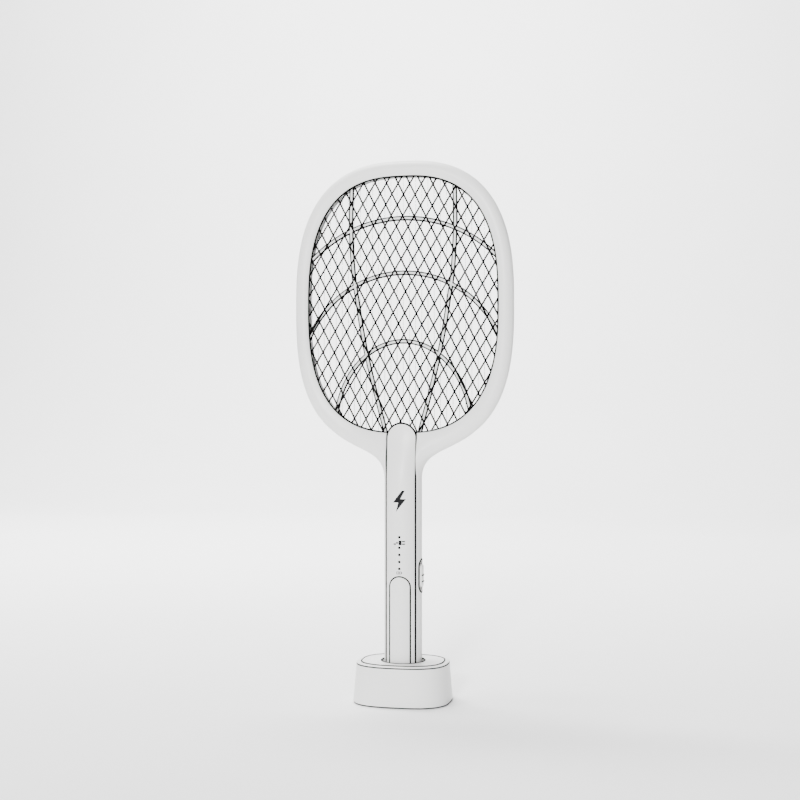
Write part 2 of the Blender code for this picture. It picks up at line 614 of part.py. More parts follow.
def make_side_switch(racket, mats):
    low, high = SWITCH_Z - BEZEL_HALF_LENGTH, SWITCH_Z + BEZEL_HALF_LENGTH
    outer = stadium(BEZEL_HALF_WIDTH, low, high)
    inner = stadium(BEZEL_HALF_WIDTH - BEZEL_RIM, low + BEZEL_RIM, high - BEZEL_RIM)

    def raised(outline):
        return [(math.sqrt(HANDLE_R**2 - y * y) + BEZEL_PROUD, y, z) for y, z in outline]

    def sunk(outline):
        return [(13.6, y, z) for y, z in outline]

    ring = loft([sunk(outer), raised(outer), raised(inner), sunk(inner)], closed=True)
    new_object("switch_bezel", *ring, mats["white"], racket, (HANDLE_R, 0, SWITCH_Z))
    knob = stadium(KNOB_HALF_WIDTH, SWITCH_Z - KNOB_HALF_LENGTH, SWITCH_Z + KNOB_HALF_LENGTH)
    crown = [(y * 0.86, SWITCH_Z + (z - SWITCH_Z) * 0.94) for y, z in knob]
    rows = ((knob, 11.2), (knob, KNOB_TOP_X - 0.6), (crown, KNOB_TOP_X))
    slider = new_object("switch_slider", *loft([[(x, y, z) for y, z in outline] for outline, x in rows]),
                        mats["white"], racket, (KNOB_TOP_X, 0, SWITCH_Z))
    grooves = [box_shape((KNOB_TOP_X - 0.8, -6, SWITCH_Z + d - 0.6), (KNOB_TOP_X + 2, 6, SWITCH_Z + d + 0.6))
               for d in (-3.0, 3.0)]
    combine(slider, new_object("knob_grooves", *merge_shapes(grooves), None), "DIFFERENCE")


# ---------- pieces of the dock ----------

def dock_loop(half_width, half_depth, power, z, inset=0.0):
    loop = []
    for i in range(DOCK_AROUND):
        t = 2 * math.pi * (i + 0.5) / DOCK_AROUND
        c, s = math.cos(t), math.sin(t)
        loop.append((math.copysign(abs(c) ** (2 / power), c) * (half_width - inset),
                     math.copysign(abs(s) ** (2 / power), s) * (half_depth - inset), z))
    return loop


def dock_level(z, inset=0.0):
    t = (z - DOCK_BOTTOM_Z) / (DOCK_EDGE_Z - DOCK_BOTTOM_Z)
    return dock_loop(*(mix(a, b, t) for a, b in zip(DOCK_LOW, DOCK_EDGE)), z, inset)


def well_loop(radius, z):
    return [(x, y, z) for x, y in circle(radius, count=DOCK_AROUND)]


def make_dock(mats):
    ceiling_z, outside_r = DOCK_TOP_Z - DOCK_WALL, WELL_R + WELL_WALL
    cup_outside = [well_loop(outside_r - 1.0, WELL_FLOOR_Z - 2.0), well_loop(outside_r, WELL_FLOOR_Z),
                   well_loop(outside_r, ceiling_z)]
    wall_inside = [dock_level(ceiling_z, DOCK_WALL + 1.2), dock_level(DOCK_EDGE_Z - 4.0, DOCK_WALL),
                   dock_level(DOCK_BOTTOM_Z, DOCK_WALL)]
    wall_outside = [dock_level(DOCK_BOTTOM_Z), dock_level(DOCK_EDGE_Z)]
    top = [dock_loop(*DOCK_EDGE, DOCK_EDGE_Z + 0.7, DOCK_INSET * 0.35),
           dock_loop(*DOCK_EDGE, DOCK_TOP_Z, DOCK_INSET)]
    cup_inside = [well_loop(WELL_R + 0.5, DOCK_TOP_Z), well_loop(WELL_R, DOCK_TOP_Z - 0.6),
                  well_loop(WELL_R - 0.4, WELL_FLOOR_Z)]
    sections = cup_outside + wall_inside + wall_outside + top + cup_inside
    housing = new_object("dock_housing", *loft(sections), mats["white"])
    posts = [turned([(3.5, 3.9), (3.5, DOCK_TOP_Z - 1.5)], "Z", x, y, 8) for x, y in BASE_SCREW_SPOTS]
    cuts = [turned([(1.5, 0.0), (1.5, 16.0)], "Z", x, y, 8) for x, y in BASE_SCREW_SPOTS]
    pin_bore = [(PIN_R + 0.35, 5.0), (PIN_R + 0.35, 20.0)]
    cuts += [turned(pin_bore, "Z", side * PIN_X, 0, 12) for side in (-1, 1)]
    cuts.append(box_shape((-4.9, 30.0, 5.4), (4.9, 45.0, 9.3)))
    combine(housing, new_object("dock_posts", *merge_shapes(posts), None), "UNION")
    combine(housing, new_object("dock_cuts", *merge_shapes(cuts), None), "DIFFERENCE")

    plate = [dock_level(z, DOCK_WALL + 0.4) for z in BASE_Z]
    base = new_object("dock_base_plate", *loft(plate), mats["white"])
    bore = [(2.7, 0.0), (2.7, 2.6), (1.4, 2.6), (1.4, 6.0)]
    bores = [turned(bore, "Z", x, y, 8) for x, y in BASE_SCREW_SPOTS]
    combine(base, new_object("base_bores", *merge_shapes(bores), None), "DIFFERENCE")

    for number, (x, y) in enumerate(FOOT_SPOTS, start=1):
        profile = [(4.6, 0.0), (5.0, 0.4), (5.0, BASE_Z[0] - 0.2)]
        new_object(f"rubber_foot_{number}", *turned(profile, "Z", x, y, 14), mats["rubber"], None, (x, y, 0))
    for number, (x, y) in enumerate(BASE_SCREW_SPOTS, start=1):
        profile = [(2.3, 1.3), (2.3, 2.4), (1.05, 2.4), (1.05, 13.0)]
        new_object(f"base_screw_{number}", *turned(profile, "Z", x, y, 8), mats["steel"], None, (x, y, 1.3))
    board = box_shape((-16.0, -8.0, DOCK_BOARD_Z[0]), (16.0, 34.0, DOCK_BOARD_Z[1]))
    new_object("dock_board", *board, mats["board"], None, (0, 13, DOCK_BOARD_Z[0]))
    shell = box_shape((-4.5, 31.0, 5.7), (4.5, 38.4, 8.9))
    port = new_object("usb_port", *shell, mats["steel"], None, (0, 35, 5.7))
    mouth = box_shape((-3.9, 33.0, 6.2), (3.9, 45.0, 8.4))
    combine(port, new_object("usb_mouth", *mouth, None), "DIFFERENCE")
    for place, side in (("left", -1), ("right", 1)):
        x = side * PIN_X
        sleeve = [[(x + a, b, z) for a, b in circle(r, count=16)]
                  for r, z in ((2.8, 5.3), (2.8, 9.6), (PIN_R + 0.35, 9.6), (PIN_R + 0.35, 5.3))]
        new_object(f"pin_sleeve_{place}", *loft(sleeve, closed=True), mats["black"], None, (x, 0, 5.3))
        low, high = PIN_Z
        pin = [(PIN_R, low), (PIN_R, high - 0.5), (PIN_R - 0.5, high)]
        new_object(f"charge_pin_{place}", *turned(pin, "Z", x, 0, 14), mats["gold"], None, (x, 0, high))


def build():
    clear_scene()
    mats = make_materials()
    racket = new_empty("racket", (0, 0, HANDLE_BOTTOM_Z))
    make_frame(racket, mats)
    make_panel(racket, mats)
    for place, side in (("front", -1), ("rear", 1)):
        make_net(f"{place}_mesh", side, racket, mats)
        make_carrier(f"{place}_mesh_carrier", side, racket, mats)
    make_grid(racket, mats)
    make_lure(racket, mats)
    make_electronics(racket, mats)
    make_end_cap(racket, mats)
    make_key(racket, mats)
    make_side_switch(racket, mats)
    make_dock(mats)


build()
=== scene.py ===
"""Looks for the electric fly swatter: fine versions of its skins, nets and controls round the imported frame.

Lengths are millimetres until a mesh is made; the stage and the lights are in metres. The front faces -Y and
+Z is up.
"""

import math

import bmesh
import bpy
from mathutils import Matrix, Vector


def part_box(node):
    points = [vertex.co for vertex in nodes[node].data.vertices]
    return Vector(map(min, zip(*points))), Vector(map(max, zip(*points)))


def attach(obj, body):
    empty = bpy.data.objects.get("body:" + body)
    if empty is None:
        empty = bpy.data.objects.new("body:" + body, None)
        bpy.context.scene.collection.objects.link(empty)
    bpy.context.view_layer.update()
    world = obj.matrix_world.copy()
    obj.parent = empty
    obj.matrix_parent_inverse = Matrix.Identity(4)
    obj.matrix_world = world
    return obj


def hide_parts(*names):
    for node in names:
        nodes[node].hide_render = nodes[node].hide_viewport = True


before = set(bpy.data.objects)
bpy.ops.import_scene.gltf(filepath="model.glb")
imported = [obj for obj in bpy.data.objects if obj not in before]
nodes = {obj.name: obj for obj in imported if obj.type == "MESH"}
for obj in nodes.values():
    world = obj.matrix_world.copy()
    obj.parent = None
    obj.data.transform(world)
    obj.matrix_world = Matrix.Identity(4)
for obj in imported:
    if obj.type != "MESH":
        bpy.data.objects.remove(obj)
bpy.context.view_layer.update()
MM = 0.001

# The same sizes as the solids
HEAD_HALF_WIDTH, HEAD_WIDEST_Z = 106.0, 376.3
HEAD_TOP_REACH, HEAD_TOP_POWER = 135.4, 2.6
HEAD_LOW_REACH, HEAD_LOW_POWER = 138.9, 2.8
OPEN_HALF_WIDTH, OPEN_WIDEST_Z = 92.2, 374.4
OPEN_TOP_REACH, OPEN_LOW_REACH = 122.1, 122.2
OPEN_POWER = 2.65
RIM_HALF_DEPTH, RIM_ROUND = 8.5, 9.0
LIP_DROP, LIP_BACK, LIP_WIDTH = 1.7, 5.0, 5.2
WALL, PARTING = 2.0, 0.15
HANDLE_R = 17.8
HANDLE_TOP_Z, THROAT_TOP_Z = 208.3, 255.8
THROAT_BEND = ((45.3, 233.0), (HANDLE_R, 236.8))
HANDLE_BOTTOM_Z = 12.3
SLOT_HALF_WIDTH = 14.6
PANEL_HALF_WIDTH, NOSE_CENTRE_Z, NOSE_HALF_DEPTH = 13.6, 247.3, 9.5
NET_TUCK = 4.0  # how far the nets reach under the lip
CELL_ACROSS, CELL_UP = (11.25, -0.7), (0.8, 20.5)
NET_NODE, NET_Y, CARRIER_Y = (3.15, 386.7), 4.2, (0.8, 3.4)
ARCHES = ((456.7, 125.0, 125.0), (404.6, 100.0, 100.0), (339.4, 66.0, 83.9))
SIDE_RIB = ((50.0, 489.5), (50.1, 486.6), (50.6, 446.5), (48.2, 405.0), (44.4, 379.1), (40.2, 352.5),
            (35.0, 326.0), (27.4, 294.2), (17.1, 255.2), (16.0, 250.5))
KEY_HALF_WIDTH, KEY_PROUD, KEY_GAP, KEY_Z = 9.5, 0.1, 0.7, (18.0, 117.8)
KEY_SWITCH_Z = (45.0, 98.0)
INDICATOR_Z = (125.6, 132.0, 138.6, 145.2, 155.0)
SWITCH_Z = 117.8
BEZEL_HALF_LENGTH, BEZEL_HALF_WIDTH, BEZEL_RIM, BEZEL_PROUD, BEZEL_FOOT_X = 15.35, 6.7, 1.3, 0.4, 13.6
KNOB_HALF_LENGTH, KNOB_HALF_WIDTH, KNOB_TOP_X = 10.7, 4.8, 19.4
DOCK_LOW, DOCK_EDGE = (45.8, 39.2, 2.9), (43.3, 36.3, 2.6)
DOCK_BOTTOM_Z, DOCK_EDGE_Z, DOCK_TOP_Z = 1.0, 37.1, 38.3
DOCK_WALL = 2.4
WELL_R, WELL_FLOOR_Z, WELL_WALL = 19.9, 12.0, 2.2
PIN_X, PIN_R = 7.0, 1.2
FOOT_SPOTS = ((-27.0, -23.0), (27.0, -23.0), (27.0, 23.0), (-27.0, 23.0))
BASE_SCREW_SPOTS = ((-34.0, -10.0), (34.0, -10.0), (34.0, 10.0), (-34.0, 10.0))

# Sizes that only the looks have
WIRE_R, NET_EDGE = 0.8, 0.7  # the nets' rims show NET_EDGE inside the lip
# the ribs' pale bars, and the wider black strips under them that paint shade on their flanks
BAR_HALF_WIDTH, FLANK_SHADE_HALF_WIDTH = 1.0, 2.25
KEY_LESS, KEY_SLOT_GAP = 0.25, KEY_GAP + 0.35  # a smaller key in a wider slot, so that a dark line shows
GROOVE_OFFSETS = (-5.2, 0.6)  # the knob's grooves, filled with painted shade, from its middle
PLATE_Z = 37.85  # the dock's top plate, sunk inside its rim
PORT_Z = 7.35
HANDLE_LEVELS = (186.0, 165.0, 125.0, 85.0, 50.0, HANDLE_BOTTOM_Z)
KEY_LEVELS = (100.0, 70.0, 40.0)

# The shell screws: y of each part, for those round the head and for those down the handle
BORE_FLOOR_Y, SKIN_Y, POST_END_Y = (4.4, 8.0), (8.1, 17.8), (7.2, 16.8)
SCREW_SEAT_Y, SCREW_TIP_Y = (4.7, 8.3), (-4.6, -8.0)

# The main view
CAMERA_AZIMUTH, CAMERA_DISTANCE, CAMERA_HEIGHT, CAMERA_LENS = math.radians(12.4), 1200.0, 256.6, 56.84
CAMERA_SIDE, AIM_Z = -3.1, 283.7
CAMERA_RIGHT = Vector((math.cos(CAMERA_AZIMUTH), math.sin(CAMERA_AZIMUTH), 0))
EYE = Vector((CAMERA_DISTANCE * math.sin(CAMERA_AZIMUTH), -CAMERA_DISTANCE * math.cos(CAMERA_AZIMUTH),
              CAMERA_HEIGHT)) + CAMERA_SIDE * CAMERA_RIGHT
AIM = Vector((0, 0, AIM_Z)) + CAMERA_SIDE * CAMERA_RIGHT


# ---------- materials ----------

class Recipe:
    """A Principled material whose colour, roughness and relief come from procedural noise."""

    def __init__(self, name, roughness, metallic=0.0, **fixed):
        self.material = bpy.data.materials.new(name)
        self.material.use_nodes = True
        self.tree = self.material.node_tree
        self.shader = self.tree.nodes["Principled BSDF"]
        self.shader.inputs["Roughness"].default_value = roughness
        self.shader.inputs["Metallic"].default_value = metallic
        for key, value in fixed.items():
            self.shader.inputs[key.replace("_", " ")].default_value = value
        self.place = self.tree.nodes.new("ShaderNodeTexCoord")

    def add(self, kind, **values):
        node = self.tree.nodes.new(kind)
        for key, value in values.items():
            if hasattr(node, key):
                setattr(node, key, value)
            else:
                node.inputs[key.replace("_", " ")].default_value = value
        return node

    def link(self, out, into):
        self.tree.links.new(out, into)

    def noise(self, scale, detail=3.0, stretch=None):
        node = self.add("ShaderNodeTexNoise", Scale=scale, Detail=detail)
        start = self.place.outputs["Object"]
        if stretch:
            mapping = self.add("ShaderNodeMapping")
            mapping.inputs["Scale"].default_value = stretch
            self.link(start, mapping.inputs["Vector"])
            start = mapping.outputs["Vector"]
        self.link(start, node.inputs["Vector"])
        return node.outputs["Fac"]

    def colours(self, fac, *stops):
        ramp = self.add("ShaderNodeValToRGB")
        elements = ramp.color_ramp.elements
        while len(elements) < len(stops):
            elements.new(0.5)
        for element, (place, colour) in zip(elements, stops):
            element.position, element.color = place, (*colour, 1.0)
        self.link(fac, ramp.inputs["Fac"])
        self.link(ramp.outputs["Color"], self.shader.inputs["Base Color"])
        return self

    def roughness(self, fac, low, high):
        spread = self.add("ShaderNodeMapRange")
        spread.inputs["From Min"].default_value, spread.inputs["From Max"].default_value = 0.3, 0.7
        spread.inputs["To Min"].default_value, spread.inputs["To Max"].default_value = low, high
        self.link(fac, spread.inputs["Value"])
        self.link(spread.outputs["Result"], self.shader.inputs["Roughness"])
        return self

    def relief(self, *layers):
        """Each layer is (height, distance in millimetres, strength); they add up."""
        normal = None
        for fac, distance, strength in layers:
            bump = self.add("ShaderNodeBump", Strength=strength, Distance=distance * MM)
            self.link(fac, bump.inputs["Height"])
            if normal:
                self.link(normal, bump.inputs["Normal"])
            normal = bump.outputs["Normal"]
        self.link(normal, self.shader.inputs["Normal"])
        return self


def plastic(name, colour, roughness, grain=0.03, shine=0.25):
    """Moulded plastic: spark-eroded grain, faint flow variation in colour and sheen."""
    made = Recipe(name, roughness, Specular_IOR_Level=shine)
    broad, fine, speck = made.noise(11.0), made.noise(1500.0, 4.0), made.noise(260.0)
    dim = tuple(0.964 * c for c in colour)
    made.colours(broad, (0.32, dim), (0.68, colour))
    made.roughness(speck, roughness - 0.05, roughness + 0.06)
    return made.relief((fine, grain, 0.5), (broad, 0.35, 0.04)).material


def metal(name, dark, light, roughness, stretch=None):
    """Bare metal with a fine relief, which stretch can draw out into brushing."""
    made = Recipe(name, roughness, 1.0)
    broad, fine = made.noise(60.0), made.noise(900.0, 3.0, stretch)
    made.colours(broad, (0.3, dark), (0.7, light))
    return made.roughness(fine, roughness - 0.08, roughness + 0.1).relief((fine, 0.02, 0.5)).material


def make_materials():
    rubber = Recipe("rubber_finish", 0.85)
    grains = rubber.noise(700.0, 4.0)
    rubber.colours(rubber.noise(40.0), (0.3, (0.018, 0.018, 0.019)), (0.7, (0.032, 0.032, 0.033)))
    rubber.roughness(grains, 0.78, 0.94).relief((grains, 0.06, 0.7))
    board = Recipe("board_finish", 0.42)
    tracks = board.add("ShaderNodeTexVoronoi", Scale=260.0)
    board.link(board.place.outputs["Object"], tracks.inputs["Vector"])
    board.colours(tracks.outputs["Distance"], (0.1, (0.012, 0.13, 0.055)), (0.6, (0.02, 0.19, 0.085)))
    board.roughness(board.noise(300.0), 0.34, 0.5).relief((tracks.outputs["Distance"], 0.03, 0.4))
    lens = Recipe("lens_finish", 0.12, Transmission_Weight=0.75, IOR=1.5)
    lens.colours(lens.noise(30.0), (0.3, (0.42, 0.30, 0.82)), (0.7, (0.50, 0.37, 0.90)))
    lens.relief((lens.noise(400.0), 0.02, 0.3))
    led = Recipe("led_finish", 0.1, Transmission_Weight=0.6, IOR=1.5)
    led.colours(led.noise(80.0), (0.3, (0.74, 0.70, 0.92)), (0.7, (0.82, 0.78, 0.97)))
    led.relief((led.noise(500.0), 0.02, 0.2))
    winding = Recipe("winding_finish", 0.5)
    turns = winding.add("ShaderNodeTexWave", Scale=190.0, Distortion=0.6, bands_direction="Z")
    winding.link(winding.place.outputs["Object"], turns.inputs["Vector"])
    winding.colours(turns.outputs["Fac"], (0.2, (0.42, 0.27, 0.05)), (0.8, (0.62, 0.43, 0.10)))
    winding.roughness(winding.noise(200.0), 0.42, 0.6).relief((turns.outputs["Fac"], 0.08, 0.6))
    ink = Recipe("ink_finish", 0.5, Specular_IOR_Level=0.05)
    ink.colours(ink.noise(500.0), (0.3, (0.006, 0.006, 0.007)), (0.7, (0.010, 0.010, 0.011)))
    ink.roughness(ink.noise(900.0), 0.45, 0.6).relief((ink.noise(1500.0), 0.01, 0.3))
    return {
        "white": plastic("white_satin", (0.77, 0.77, 0.76), 0.36),
        "key": plastic("key_satin", (0.79, 0.79, 0.78), 0.30, 0.015),
        "black": plastic("black_plastic_finish", (0.022, 0.022, 0.024), 0.45),
        # painted shade: a near-black laid in gaps, grooves and along edges where shade falls, so they read
        # dark from any side
        "painted_shade": plastic("painted_shade_black", (0.004, 0.004, 0.004), 0.8, shine=0.0),
        "smoke": plastic("smoked_window", (0.005, 0.005, 0.005), 0.4, 0.0, shine=0.05),
        "red": plastic("red_insulation_finish", (0.55, 0.03, 0.025), 0.38),
        "cell": plastic("cell_wrap_finish", (0.07, 0.20, 0.42), 0.3),
        "wire": plastic("dark_wire_finish", (0.004, 0.004, 0.004), 0.7, 0.01, shine=0.0),
        "bright": metal("bright_wire_finish", (0.55, 0.56, 0.58), (0.68, 0.69, 0.71), 0.26),
        "steel": metal("screw_finish", (0.42, 0.42, 0.44), (0.58, 0.58, 0.60), 0.3, (1, 1, 6)),
        "gold": metal("gold_finish", (0.78, 0.54, 0.20), (0.90, 0.66, 0.30), 0.22),
        "rubber": rubber.material, "board": board.material, "lens": lens.material, "led": led.material,
        "winding": winding.material, "ink": ink.material,
    }


MATS = make_materials()


# ---------- pieces ----------

def add_object(name, data):
    obj = bpy.data.objects.new(name, data)
    bpy.context.scene.collection.objects.link(obj)
    return obj


def mesh_object(name, points, faces):
    """An object from points in millimetres and faces that list them."""
    mesh = bpy.data.meshes.new(name)
    mesh.from_pydata([Vector(p) * MM for p in points], [], faces)
    work = bmesh.new()
    work.from_mesh(mesh)
    bmesh.ops.remove_doubles(work, verts=work.verts, dist=1e-6)
    bmesh.ops.recalc_face_normals(work, faces=work.faces)
    work.to_mesh(mesh)
    work.free()
    return add_object(name, mesh)


def finish_piece(obj, material, body, stands_for=(), sharp=32):
    """Shades, paints and places a finished piece on its body."""
    obj.data.materials.clear()
    obj.data.materials.append(MATS[material])
    obj.data.shade_smooth()
    obj.data.set_sharp_from_angle(angle=math.radians(sharp))
    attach(obj, body)
    if stands_for:
        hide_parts(*stands_for)
    return obj


def piece(name, shape, material, body, stands_for=(), sharp=32):
    return finish_piece(mesh_object(name, *shape), material, body, stands_for, sharp)


def apply_cuts(obj, *operations):
    """Boolean operations, each ("DIFFERENCE" or "UNION", shape), made permanent."""
    helpers = []
    for number, (operation, shape) in enumerate(operations):
        helper = mesh_object(f"{obj.name}_cut_{number}", *shape)
        helpers.append(helper)
        modifier = obj.modifiers.new("cut", "BOOLEAN")
        modifier.operation, modifier.solver, modifier.object = operation, "EXACT", helper
    graph = bpy.context.evaluated_depsgraph_get()
    done = bpy.data.meshes.new_from_object(obj.evaluated_get(graph))
    obj.modifiers.clear()
    obj.data = done
    for helper in helpers:
        bpy.data.objects.remove(helper, do_unlink=True)
    return obj


def loft(sections, closed=False):
    """Quads from loop to loop; the last loop meets the first when closed, or both ends get a face."""
    points = [p for section in sections for p in section]
    count, rows = len(sections[0]), len(sections)
    faces = []
    for row in range(rows if closed else rows - 1):
        low, high = row * count, (row + 1) % rows * count
        faces += [(low + i, low + (i + 1) % count, high + (i + 1) % count, high + i) for i in range(count)]
    if not closed:
        faces += [tuple(range(count)), tuple((rows - 1) * count + i for i in range(count))]
    return points, faces


def loft_with_strips(sections, first):
    """A loft whose ends are closed by quads between the loops' two sides, which meet at point first."""
    points, faces = loft(sections)
    count = len(sections[0])
    for base in (0, len(points) - count):
        faces = [face for face in faces if len(face) <= 4 or face[0] != base]
        for step in range(count // 2):
            a, b, c, d = (base + (first + k) % count for k in (step, step + 1, -step - 1, -step))
            faces.append((a, b, c) if a == d else (a, b, d) if b == c else (a, b, c, d))
    return points, faces


def merge_shapes(shapes):
    points, faces = [], []
    for shape_points, shape_faces in shapes:
        base = len(points)
        points += shape_points
        faces += [tuple(base + i for i in face) for face in shape_faces]
    return points, faces


def box_shape(low, high):
    (x0, y0, z0), (x1, y1, z1) = low, high
    return loft([[(x0, y0, z), (x1, y0, z), (x1, y1, z), (x0, y1, z)] for z in (z0, z1)])


def on_axis(axis, a, b, place):
    return {"X": (place, a, b), "Y": (a, place, b), "Z": (a, b, place)}[axis]


def circle(radius, a=0.0, b=0.0, count=48):
    turns = [2 * math.pi * (i + 0.5) / count for i in range(count)]
    return [(a + radius * math.cos(t), b + radius * math.sin(t)) for t in turns]


def half_turn(radius, centre, start, count):
    """Points of half a circle round (0, centre), from the angle start."""
    turns = [start + math.pi * i / count for i in range(count + 1)]
    return [(radius * math.cos(t), centre + radius * math.sin(t)) for t in turns]


def stadium(half_width, low, high, count=20):
    top = half_turn(half_width, high - half_width, 0.0, count)
    return top + half_turn(half_width, low + half_width, math.pi, count)


def rectangle(x0, z0, x1, z1):
    return [(x0, z0), (x1, z0), (x1, z1), (x0, z1)]


def rounded_rectangle(half_a, half_b, radius, count=8):
    loop = []
    for ca, cb, first in ((1, 1, 0), (-1, 1, 90), (-1, -1, 180), (1, -1, 270)):
        centre_a, centre_b = ca * (half_a - radius), cb * (half_b - radius)
        for i in range(count + 1):
            t = math.radians(first + 90 * i / count)
            loop.append((centre_a + radius * math.cos(t), centre_b + radius * math.sin(t)))
    return loop


def prism(outline, axis, start, end):
    return loft([[on_axis(axis, a, b, place) for a, b in outline] for place in (start, end)])


def turned(profile, axis, a=0.0, b=0.0, count=48):
    return loft([[on_axis(axis, p, q, place) for p, q in circle(r, a, b, count)] for r, place in profile])


def tube(path, radius, count):
    """A round wire along a path of points."""
    sections = []
    for i, p in enumerate(path):
        ahead = Vector(path[min(i + 1, len(path) - 1)]) - Vector(path[max(i - 1, 0)])
        turn = ahead.to_track_quat("Z", "Y")
        sections.append([tuple(Vector(p) + turn @ Vector((a, b, 0))) for a, b in circle(radius, count=count)])
    return loft(sections)


def mix(a, b, t):
    return a + (b - a) * t


def blend(low, high, value):
    """A smooth step from 0 at low to 1 at high."""
    t = min(1.0, max(0.0, (value - low) / (high - low)))
    return t * t * (3 - 2 * t)


def spaced(path, count):
    """A path cut into count steps of equal length."""
    ends = [0.0]
    for p, q in zip(path, path[1:]):
        ends.append(ends[-1] + math.dist(p, q))
    result, k = [], 0
    for i in range(count + 1):
        want = ends[-1] * i / count
        while k < len(path) - 2 and ends[k + 1] < want:
            k += 1
        share = (want - ends[k]) / (ends[k + 1] - ends[k])
        result.append(tuple(a + share * (b - a) for a, b in zip(path[k], path[k + 1])))
    return result


# ---------- the frame's two halves ----------

STEPS_UPPER, STEPS_LOWER, STEPS_THROAT = 78, 66, 48
ROUND_STEPS = 14


def oval_arc(widest_z, half_width, reach, power, steps, x_end=0.0):
    last = math.acos((x_end / half_width) ** (power / 2))
    arc = []
    for i in range(steps + 1):
        t = last * i / steps
        x = half_width * max(math.cos(t), 0.0) ** (2 / power)
        arc.append((x if i < steps else x_end, widest_z + reach * math.sin(t) ** (2 / power)))
    return arc


def bezier(p0, p1, p2, p3, t):
    u = 1 - t
    weights = (u**3, 3 * u * u * t, 3 * u * t * t, t**3)
    return tuple(sum(w * p[k] for w, p in zip(weights, (p0, p1, p2, p3))) for k in (0, 1))


def outer_half():
    share = (HEAD_WIDEST_Z - THROAT_TOP_Z) / HEAD_LOW_REACH
    low_x = HEAD_HALF_WIDTH * (1 - share**HEAD_LOW_POWER) ** (1 / HEAD_LOW_POWER)
    upper = oval_arc(HEAD_WIDEST_Z, HEAD_HALF_WIDTH, HEAD_TOP_REACH, HEAD_TOP_POWER, 900)[::-1]
    lower = oval_arc(HEAD_WIDEST_Z, HEAD_HALF_WIDTH, -HEAD_LOW_REACH, HEAD_LOW_POWER, 900, low_x)
    bend = ((low_x, THROAT_TOP_Z), *THROAT_BEND, (HANDLE_R, HANDLE_TOP_Z))
    throat = [bezier(*bend, i / STEPS_THROAT) for i in range(STEPS_THROAT + 1)]
    handle = [(HANDLE_R, z) for z in HANDLE_LEVELS]
    return spaced(upper, STEPS_UPPER) + spaced(lower, STEPS_LOWER)[1:] + throat[1:] + handle


def inner_half(edge_x):
    upper = oval_arc(OPEN_WIDEST_Z, OPEN_HALF_WIDTH, OPEN_TOP_REACH, OPEN_POWER, 900)[::-1]
    lower = oval_arc(OPEN_WIDEST_Z, OPEN_HALF_WIDTH, -OPEN_LOW_REACH, OPEN_POWER, 900, edge_x)
    beside = 3 * STEPS_THROAT // 8
    around = STEPS_LOWER + STEPS_THROAT - beside
    start = lower[-1][1]
    down = [(edge_x, mix(start, HANDLE_TOP_Z, i / beside)) for i in range(1, beside + 1)]
    handle = [(edge_x, z) for z in HANDLE_LEVELS]
    path = spaced(upper, STEPS_UPPER) + spaced(lower, around)[1:] + down + handle
    return path, STEPS_UPPER + around


def opening_outline(grow):
    """The opening's outline, grown by grow, from its top down the right side and up the left."""
    reaches = (OPEN_TOP_REACH + grow, -OPEN_LOW_REACH - grow)
    wide = OPEN_HALF_WIDTH + grow
    quarters = [spaced(oval_arc(OPEN_WIDEST_Z, wide, reach, OPEN_POWER, 600), 60) for reach in reaches]
    right = quarters[0][::-1] + quarters[1][1:]
    return right + [(-x, z) for x, z in right[-2:0:-1]]


def inside_opening(x, z, grow):
    reach = (OPEN_TOP_REACH if z > OPEN_WIDEST_Z else OPEN_LOW_REACH) + grow
    across, up = abs(x) / (OPEN_HALF_WIDTH + grow), abs(z - OPEN_WIDEST_Z) / reach
    return across**OPEN_POWER + up**OPEN_POWER < 1


def profile_at(z):
    share = blend(206.0, 258.0, z)
    return mix(HANDLE_R, RIM_HALF_DEPTH, share), mix(HANDLE_R, RIM_ROUND, share)


def skin_depth(d, z):
    high, reach = profile_at(z)
    return high * math.sqrt(1 - (1 - min(1.0, d / reach)) ** 2)


def hollow_depth(d, z):
    high, reach = (size - WALL for size in profile_at(z))
    return high * math.sqrt(1 - (1 - min(1.0, max(0.0, d - WALL) / reach)) ** 2)


def bow(share, reach, last):
    """Distance in from the outline at a share of the way round its rounded edge."""
    return reach * (1 - math.cos(last * share)) / (1 - math.cos(last))


def frame_section(outer, inner, rounded):
    """A fine section between two matching outline points; rounded is the radius of its inner edge."""
    width = math.dist(outer, inner)
    reach_here = profile_at(outer[1])[1]
    reach = min(reach_here, 0.65 * width)
    last = math.acos(1 - reach / max(reach, reach_here))
    lip = blend(222.0, 250.0, inner[1])
    outside = [bow(k / ROUND_STEPS, reach, last) for k in range(1, ROUND_STEPS + 1)]
    outside += [mix(reach, width - rounded, k / 5) for k in range(1, 6)]
    outside += [width - rounded * (1 - math.sin(math.radians(a))) for a in (25, 48, 70, 90)]
    pairs = [(0.42, PARTING), (0.14, 0.30), (0.03, 0.62)]
    for d in outside:
        z = mix(outer[1], inner[1], d / width)
        drop = LIP_DROP * lip * max(0.0, (d - reach) / (width - reach)) ** 1.5
        over = max(0.0, d - (width - rounded))
        if rounded > 0:
            drop += rounded - math.sqrt(max(0.0, rounded**2 - over**2))
        pairs.append((d, max(0.75 if d < 1 else PARTING, skin_depth(d, z) - drop)))
    ledge = mix(mix(WALL, width, 0.7), width - LIP_WIDTH, lip)
    third = mix(mix(WALL, width, 0.35), 0.9 * ledge, lip)
    inside = [(width, lip), (ledge, lip)] + [(mix(WALL, third, t), 0.0) for t in (1.0, 0.6, 0.3, 0.1)]
    for d, flat in inside:
        z = mix(outer[1], inner[1], d / width)
        pairs.append((d, mix(hollow_depth(d, z), LIP_BACK, flat)))
    pairs.append((WALL, PARTING))
    return [(mix(outer[0], inner[0], d / width), h, mix(outer[1], inner[1], d / width)) for d, h in pairs]


